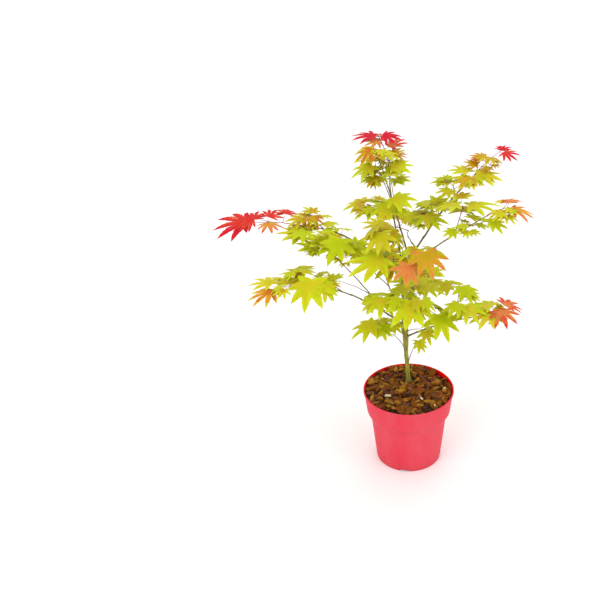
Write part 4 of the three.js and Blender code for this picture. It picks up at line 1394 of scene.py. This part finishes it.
class MAPLE_OT_stalks(bpy.types.Operator):
    """Draw the slender stalk of every leaf, swollen where it leaves its twig."""

    bl_idname = "maple.stalks"
    bl_label = "Leaf stalks"

    def execute(self, context):
        growth = context.scene.maple_growth
        leaves = grown_plant(growth.seed, growth.twigs)[3]
        heap = Heap()
        throw = dice(growth.seed + SEED_OF["stalks"])
        shares = np.linspace(0, 1, len(STALK_RADII))
        for leaf in leaves:
            end = leaf.middle - leaf.axes[0] * 0.03 * leaf.blade
            rise = throw(-0.02, 0.1) * np.linalg.norm(end - leaf.start)
            path = bow(leaf.start, end, rise, throw(-0.05, 0.05) * leaf.blade)
            radii = np.array(STALK_RADII) * (0.75 + 0.005 * leaf.blade)
            heap.add(*tube([path(t) for t in shares], radii, 6), WOOD_OF_TINT[leaf.tint])
        finishes = []
        for name, toward in STALKS:
            tone = between(growth.stalk, srgb(*toward), STALK_LEAN) if toward else growth.stalk
            finishes.append(wood_finish(name, tone, shaded(tone, 0.7), 180, 0.0001).material)
        keep(heap.piece("leaf_stalks", finishes, smooth=60), "bough_bark", *masses())
        return {"FINISHED"}


# Leaves


class MAPLE_PG_leaves(bpy.types.PropertyGroup):
    """Shape of the leaves and their plain autumn colours, which each spray's tint is dealt from."""

    thickness: size_property("Thickness", "Thickness along the ribs", 0.45)
    fold: share_property("Fold", "How far a lobe's halves rise from its rib", 0.24)
    wave: share_property("Wave", "How unlike each other the lobes lie", 0.5)
    # Streaks: half lobes that take the heart's colour further out, partly real streaks along the ribs and
    # partly painted shade on one half of a lobe.
    streaks: share_property("Streaks", "Half lobes in which the heart's colour runs further out", 0.4)
    lime: colour_property("Lime", "Most of the shaded leaves", 184, 194, 22)
    fresh: colour_property("Fresh lime", "Edges of the youngest green leaves", 194, 203, 42)
    green: colour_property("Leaf green", "The oldest green leaves", 174, 188, 10)
    olive: colour_property("Olive", "Green that has begun to turn", 190, 182, 26)
    umber: colour_property("Umber", "Hearts of turning leaves", 184, 150, 24)
    gold: colour_property("Gold", "Yellowed leaves", 200, 184, 40)
    amber: colour_property("Amber", "Orange-yellow leaves", 202, 140, 40)
    rust: colour_property("Rust", "Ribs of turning leaves", 186, 104, 24)
    coral: colour_property("Coral", "Leaves near the shoots' tips", 208, 80, 54)
    salmon: colour_property("Salmon", "Paler parts of coral leaves", 206, 122, 62)
    scarlet: colour_property("Scarlet", "Leaves of the shoots", 202, 46, 42)
    crimson: colour_property("Crimson", "The reddest leaves", 194, 24, 46)
    pink: colour_property("Pink red", "Tips of the reddest leaves", 214, 66, 78)


# For each look of a leaf, the colours of its heart, blade and lobe tips, one row to a kind of leaf.
RECIPES = {
    "crimson": (
        "scarlet crimson crimson", "crimson crimson pink", "scarlet scarlet crimson", "coral scarlet crimson",
    ),
    "coral": ("salmon coral scarlet", "umber amber coral", "amber salmon coral"),
    "ember": ("rust amber gold", "umber gold gold", "rust umber gold", "umber rust amber"),
    "amber": ("umber gold amber", "gold amber salmon", "salmon salmon amber", "umber amber salmon"),
    "gold": ("olive gold fresh", "umber gold fresh", "gold lime fresh"),
    "olive": ("umber olive lime", "olive lime fresh", "umber lime fresh", "gold lime fresh"),
    "lime": ("gold lime fresh", "lime lime fresh", "olive lime lime", "olive lime fresh", "green lime lime"),
}
# The looks that a spray of each tint deals to its leaves, from its tip inwards. Leaves further in and those
# of side twigs take the last.
LOOKS = {
    "crimson": ("crimson", "crimson", "coral", "crimson"),
    "coral": ("coral", "coral", "gold", "gold"),
    "ember": ("ember", "ember", "olive", "olive"),
    "amber": ("amber", "ember", "olive", "olive"),
    "gold": ("gold", "gold", "olive", "olive"),
    "olive": ("olive", "lime", "olive", "olive"),
    "lime": ("lime",),
}
# Looks of sprays that differ from others of their tint: two fade behind their tips, one is duller at its tip.
OWN_LOOKS = {
    "leaves_right_top_far": ("crimson", "crimson", "coral", "amber"),
    "leaves_upright_top": ("crimson", "crimson", "coral", "coral"),
    "leaves_low_left_far": ("gold", "ember", "olive", "olive"),
}
# Looks of leaves that have just unfolded, which are slimmer and cut deeper.
YOUNG = ("crimson", "coral", "ember")
# For each age of a leaf, the ranges of how broad its lobes are and of how far out they are joined.
CUTS = {
    "young": ((0.66, 0.82), (0.72, 0.9)),
    "grown": ((0.78, 0.98), (0.85, 1.1)),
    "old": ((0.9, 1.06), (1.0, 1.22)),
}
# Teeth down each side of a lobe, as shares of its free length: where each points, and the nick behind it.
# Then how far teeth stand out and nicks cut in, how near the heart a lobe may start, how far out its first
# rib point is as a share of that, how its sides draw in and bulge, and how a notch rises with its width.
TEETH = ((0.25, 0.3), (0.49, 0.55), (0.71, 0.77))
BASAL_TEETH = ((0.34, 0.42), (0.62, 0.7))
TOOTH_OUT = 0.013
NICK_IN = 0.016
LEAST_START = 0.12
FIRST_RIB = 0.55
DRAWN_IN = 1.05
BULGE = 1.55
NOTCH_RISE = 0.8
# The bands of colour on one half of a lobe, from the heart out: heart, blade, tip.
BANDS = (0, 1, 1, 2, 2)
BASAL_BANDS = (0, 1, 2, 2)
LEAF_TONES = sorted({tone for recipes in RECIPES.values() for recipe in recipes for tone in recipe.split()})


class LeafPlan:
    """One leaf's points and faces for a blade of 1, shared by all. A point's columns are the number of its
    lobe or of the lobe before its notch, whether it is on a notch, its turn, its reach along and aside, its
    height of fold, and whether it is under the blade."""

    FOLD = 5

    def __init__(self):
        self.rows = []
        self.faces = []
        self.bands = []
        self.halves = []
        lobes = all_lobes()
        heart = self.point(0, 0, 0, 0, 0, 0), self.point(0, 0, 0, 0, 0, 0, under=1)
        self.base = self.point(0, 1, 180, LEAF_BASE, 0, 0.05)
        between_lobes = [self.point(k, 1, *RIM[2 * k + 2], 0, 0) for k in range(len(lobes) - 1)]
        notches = [self.base, *between_lobes, self.base]
        for k, (turn, share) in enumerate(lobes):
            self.lobe(k, turn, share, heart, notches[k], notches[k + 1])

    def point(self, lobe, notch, turn, along, aside, fold, under=0):
        self.rows.append([lobe, notch, turn, along, aside, fold, under])
        return len(self.rows) - 1

    def lobe(self, number, turn, share, heart, right, left):
        basal = number in (0, len(all_lobes()) - 1)
        teeth, bands = (BASAL_TEETH, BASAL_BANDS) if basal else (TEETH, BANDS)
        sides = []
        for notch in (right, left):
            _, _, notch_turn, reach, *_ = self.rows[notch]
            away = math.radians((notch_turn - turn + 180) % 360 - 180)
            if notch == self.base:
                away = math.copysign(abs(away), -1 if notch == right else 1)
            start, width = reach * math.cos(away), abs(reach * math.sin(away))
            self.rows[notch][self.FOLD] = max(self.rows[notch][self.FOLD], NOTCH_RISE * width)
            edge = [notch]
            for tooth, nick in teeth:
                for place, out in ((tooth, TOOTH_OUT), (nick, -NICK_IN)):
                    aside = width * (1 - place) ** DRAWN_IN * (1 + BULGE * place) + out * (1.1 - place)
                    along = start + place * (share - start)
                    edge.append(self.point(number, 0, turn, along, math.copysign(aside, away), aside))
            sides.append((start, edge))
        start = max((sides[0][0] + sides[1][0]) / 2, LEAST_START)
        places = [FIRST_RIB * start] + [start + nick * (share - start) for _, nick in teeth]
        for under in (0, 1):
            ribs = [heart[under]] + [self.point(number, 0, turn, along, 0, 0, under) for along in places]
            if under == 0:
                tip = self.point(number, 0, turn, share, 0, 0)
            for side, (_, edge) in enumerate(sides):
                self.half(ribs, edge, tip, bands, (side == 0) != (under == 1))
                self.halves += [2 * number + side] * (len(self.bands) - len(self.halves))

    def half(self, ribs, edge, tip, bands, turned_over):
        faces = [(ribs[0], ribs[1], edge[0])]
        for k in range(1, len(ribs) - 1):
            faces.append((ribs[k], ribs[k + 1], edge[2 * k], edge[2 * k - 1], edge[2 * k - 2]))
        faces.append((ribs[-1], tip, edge[-1]))
        self.faces += [face[::-1] if turned_over else face for face in faces]
        self.bands += bands[: len(faces)]


PLAN = LeafPlan()
PLAN_ROWS = np.array(PLAN.rows, float)
# Ranges in which leaves differ: each lobe's turn in degrees, length, dip and slant, then a leaf's cup, how
# far a young leaf has spread its lobes, and how far tips hang. Then from how far out each of these starts.
LOBE_SWING = (-3.5, 3.5)
LOBE_STRETCH = (-0.08, 0.06)
LOBE_DIP = (-0.16, 0.1)
LOBE_SLANT = (-0.16, 0.16)
CUPPED = (0.05, 0.16)
FURLED = (0.68, 0.9)
TIPS_DOWN = (0.0, 0.25)
STRETCH_FROM = 0.3
DIP_FROM = 0.25
TIPS_FROM = 0.4


def leaf_points(leaf, look, throw, kind):
    """A leaf's points in place, each lobe a little unlike the others, cut and slimmed by its kind."""

    def lobe_by_lobe(low, high):
        return np.array([throw(low, high) for _ in all_lobes()])

    lobe, on_notch, turn, along, aside, fold, under = PLAN_ROWS.T
    lobe = lobe.astype(int)
    swing = lobe_by_lobe(*LOBE_SWING)
    stretch = 1 + lobe_by_lobe(*LOBE_STRETCH)
    dip = lobe_by_lobe(*LOBE_DIP) * look.wave
    slant = lobe_by_lobe(*LOBE_SLANT) * look.wave
    free = on_notch == 0
    age = "young" if kind in YOUNG else "old" if kind == "lime" else "grown"
    slim, joined = CUTS[age]
    aside = aside * throw(*slim)
    along = np.where(free, along, along * throw(*joined))
    cup = throw(*CUPPED)
    spread = throw(*FURLED) if age == "young" else 1.0
    angle = np.radians(turn * np.where(np.abs(turn) < 180, spread, 1) + np.where(free, swing[lobe], 0))
    along = along * np.where(free & (along > STRETCH_FROM), stretch[lobe], 1)
    x = along * np.cos(angle) - aside * np.sin(angle)
    y = along * np.sin(angle) + aside * np.cos(angle)
    reach = np.hypot(x, y)
    far = np.clip(reach - DIP_FROM, 0, 1)
    z = look.fold * fold - cup * reach**2 + np.where(free, dip[lobe] * far + slant[lobe] * aside, 0)
    z -= throw(*TIPS_DOWN) * np.clip(reach - TIPS_FROM, 0, 1) ** 1.5
    z = z * leaf.blade - under * mm(look.thickness)
    return leaf.middle + np.stack((x * leaf.blade, y * leaf.blade, z), 1) @ leaf.axes


def leaf_finish(name, tone):
    """A plain autumn colour, waxy in patches, with fine veins in its bump and some light through it."""
    finish = Finish("leaf_" + name, 60, 620, 0.25, specular=DULL_SPECULAR)
    finish.colour(tone)
    finish.uneven(0.42, 0.6, 0.00018)
    finish.glow(0.35, (1.0, 0.8, 0.2), 0.0016)
    return finish.material


class MAPLE_OT_leaves(bpy.types.Operator):
    """Set the lobed leaves on their stalks, in one piece for each tint."""

    bl_idname = "maple.leaves"
    bl_label = "Leaves"

    def execute(self, context):
        growth, look = context.scene.maple_growth, context.scene.maple_leaves
        leaves = grown_plant(growth.seed, growth.twigs)[3]
        tones = [name for name in look.__annotations__ if name in LEAF_TONES]
        materials = [leaf_finish(tone, getattr(look, tone)) for tone in tones]
        for number, (tint, looks) in enumerate(LOOKS.items()):
            throw = dice(growth.seed + TINT_SEEDS * (number + 1))
            heap = Heap()
            for leaf in (leaf for leaf in leaves if leaf.tint == tint):
                dealt_looks = OWN_LOOKS.get(leaf.owner, looks)
                kind = dealt_looks[min(leaf.order, len(dealt_looks) - 1)]
                recipes = RECIPES[kind]
                recipe = [tones.index(tone) for tone in recipes[int(throw(0, len(recipes) - 0.001))].split()]
                # Some half lobes take the heart's colour further out: streaks along the rib, and painted
                # shade on that half.
                behind = [int(throw() < look.streaks) for _ in range(2 * len(all_lobes()))]
                dealt = [recipe[max(band - behind[half], 0)] for band, half in zip(PLAN.bands, PLAN.halves)]
                heap.add(leaf_points(leaf, look, throw, kind), PLAN.faces, dealt)
            piece = heap.piece("leaves_" + tint, materials, smooth=24)
            choose(piece)
            bpy.ops.object.material_slot_remove_unused()
            keep(piece, "leaves_" + tint, *masses(tint))
        return {"FINISHED"}


# Stage


class MAPLE_PG_stage(bpy.types.PropertyGroup):
    """The floor, the light and the camera."""

    floor: colour_property("Floor", "Colour of the plain floor", 250, 250, 250)
    daylight: number_property("Daylight", "Strength of the light from all round", 1.01)
    key: number_property("Key light", "Power of the large light at the front", 31)
    lens: number_property("Lens", "Focal length for the sensor's width", 73.67, "CAMERA")


# The camera's place in metres, its turn in degrees and its sensor's width in millimetres.
EYE = (0.0, -2.1214, 1.6717)
PITCH_DOWN = 31.222
YAW_LEFT = 5.051
SENSOR = 36
FLOOR_SIZE = 26.0
# Where the lights aim.
MIDDLE = Vector((0, 0, 0.35))
# Name, place in metres, size in metres, and power as a share of the key light.
LIGHTS = (
    ("key_light", (-1.5, -2.2, 2.9), 2.4, 1.0),
    ("fill_light", (2.2, -1.4, 1.9), 2.2, 0.45),
    ("back_light", (0.4, 2.4, 2.4), 2.4, 0.4),
)


def floor_finish(stage):
    """A plain pale floor, as barely uneven as a painted studio sweep."""
    finish = Finish("pale_floor", 0.6, 30, 0.4)
    finish.colour(finish.mixed(finish.patches, stage.floor, shaded(stage.floor, 0.97)))
    finish.uneven(0.7, 0.85, 0.0002)
    return finish.material


def camera(stage):
    pitch, yaw = math.radians(PITCH_DOWN), math.radians(YAW_LEFT)
    level = Vector((0, math.cos(pitch), -math.sin(pitch)))
    up = Vector((0, math.sin(pitch), math.cos(pitch)))
    right = math.cos(yaw) * Vector((1, 0, 0)) + math.sin(yaw) * level
    forward = math.cos(yaw) * level - math.sin(yaw) * Vector((1, 0, 0))
    data = bpy.data.cameras.new("camera")
    data.lens = stage.lens
    data.sensor_width = SENSOR
    eye = placed("camera", data)
    eye.matrix_world = Matrix.Translation(EYE) @ Matrix((right, up, -forward)).transposed().to_4x4()
    bpy.context.scene.camera = eye


def lights(stage):
    for name, place, size, share in LIGHTS:
        data = bpy.data.lights.new(name, "AREA")
        data.shape = "DISK"
        data.size = size
        data.energy = stage.key * share
        toward = (MIDDLE - Vector(place)).to_track_quat("-Z", "Y")
        placed(name, data).matrix_world = Matrix.Translation(place) @ toward.to_matrix().to_4x4()


class MAPLE_OT_stage(bpy.types.Operator):
    """Lay the pale floor, hang the soft lights and place the camera."""

    bl_idname = "maple.stage"
    bl_label = "Floor, light and camera"

    def execute(self, context):
        stage = context.scene.maple_stage
        camera(stage)
        lights(stage)
        world = bpy.data.worlds.new("daylight")
        world.use_nodes = True
        sky = world.node_tree.nodes["Background"]
        sky.inputs["Color"].default_value = (1, 1, 1, 1)
        sky.inputs["Strength"].default_value = stage.daylight
        context.scene.world = world
        context.scene.view_settings.view_transform = "Standard"
        bpy.ops.object.select_all(action="DESELECT")
        bpy.ops.mesh.primitive_plane_add(size=FLOOR_SIZE)
        floor = context.object
        floor.name = "floor"
        floor.data.materials.append(floor_finish(stage))
        return {"FINISHED"}


class MAPLE_PT_sidebar(bpy.types.Panel):
    """Sizes, colours and steps of the potted maple."""

    bl_idname = "MAPLE_PT_sidebar"
    bl_label = "Potted maple"
    bl_space_type = "VIEW_3D"
    bl_region_type = "UI"
    bl_category = "Maple"

    def draw(self, context):
        for title, name, steps in STEPS:
            box = self.layout.box()
            box.label(text=title)
            settings = getattr(context.scene, name)
            for value in settings.__annotations__:
                box.prop(settings, value)
            for step in steps:
                box.operator(step.bl_idname)


# Title, the scene's settings, and the operators that use them, in the order they run.
STEPS = (
    ("Floor, light and camera", "maple_stage", (MAPLE_OT_stage,)),
    ("Pot", "maple_pot", (MAPLE_OT_pot,)),
    ("Soil and bark", "maple_fill", (MAPLE_OT_fill,)),
    ("Wood", "maple_growth", (MAPLE_OT_trunk, MAPLE_OT_boughs, MAPLE_OT_twigs, MAPLE_OT_stalks)),
    ("Leaves", "maple_leaves", (MAPLE_OT_leaves,)),
)
SETTINGS = {
    "maple_stage": MAPLE_PG_stage,
    "maple_pot": MAPLE_PG_pot,
    "maple_fill": MAPLE_PG_fill,
    "maple_growth": MAPLE_PG_growth,
    "maple_leaves": MAPLE_PG_leaves,
}
CLASSES = (*SETTINGS.values(), *(step for _, _, steps in STEPS for step in steps), MAPLE_PT_sidebar)


def register():
    for kind in CLASSES:
        bpy.utils.register_class(kind)
    for name, settings in SETTINGS.items():
        setattr(bpy.types.Scene, name, PointerProperty(type=settings))


def unregister():
    for name in SETTINGS:
        delattr(bpy.types.Scene, name)
    for kind in reversed(CLASSES):
        bpy.utils.unregister_class(kind)


def main():
    register()
    bpy.ops.maple.stage()
    bpy.ops.maple.pot()
    bpy.ops.maple.fill()
    bpy.ops.maple.trunk()
    bpy.ops.maple.boughs()
    bpy.ops.maple.twigs()
    bpy.ops.maple.stalks()
    bpy.ops.maple.leaves()
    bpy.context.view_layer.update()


if __name__ == "__main__":
    main()
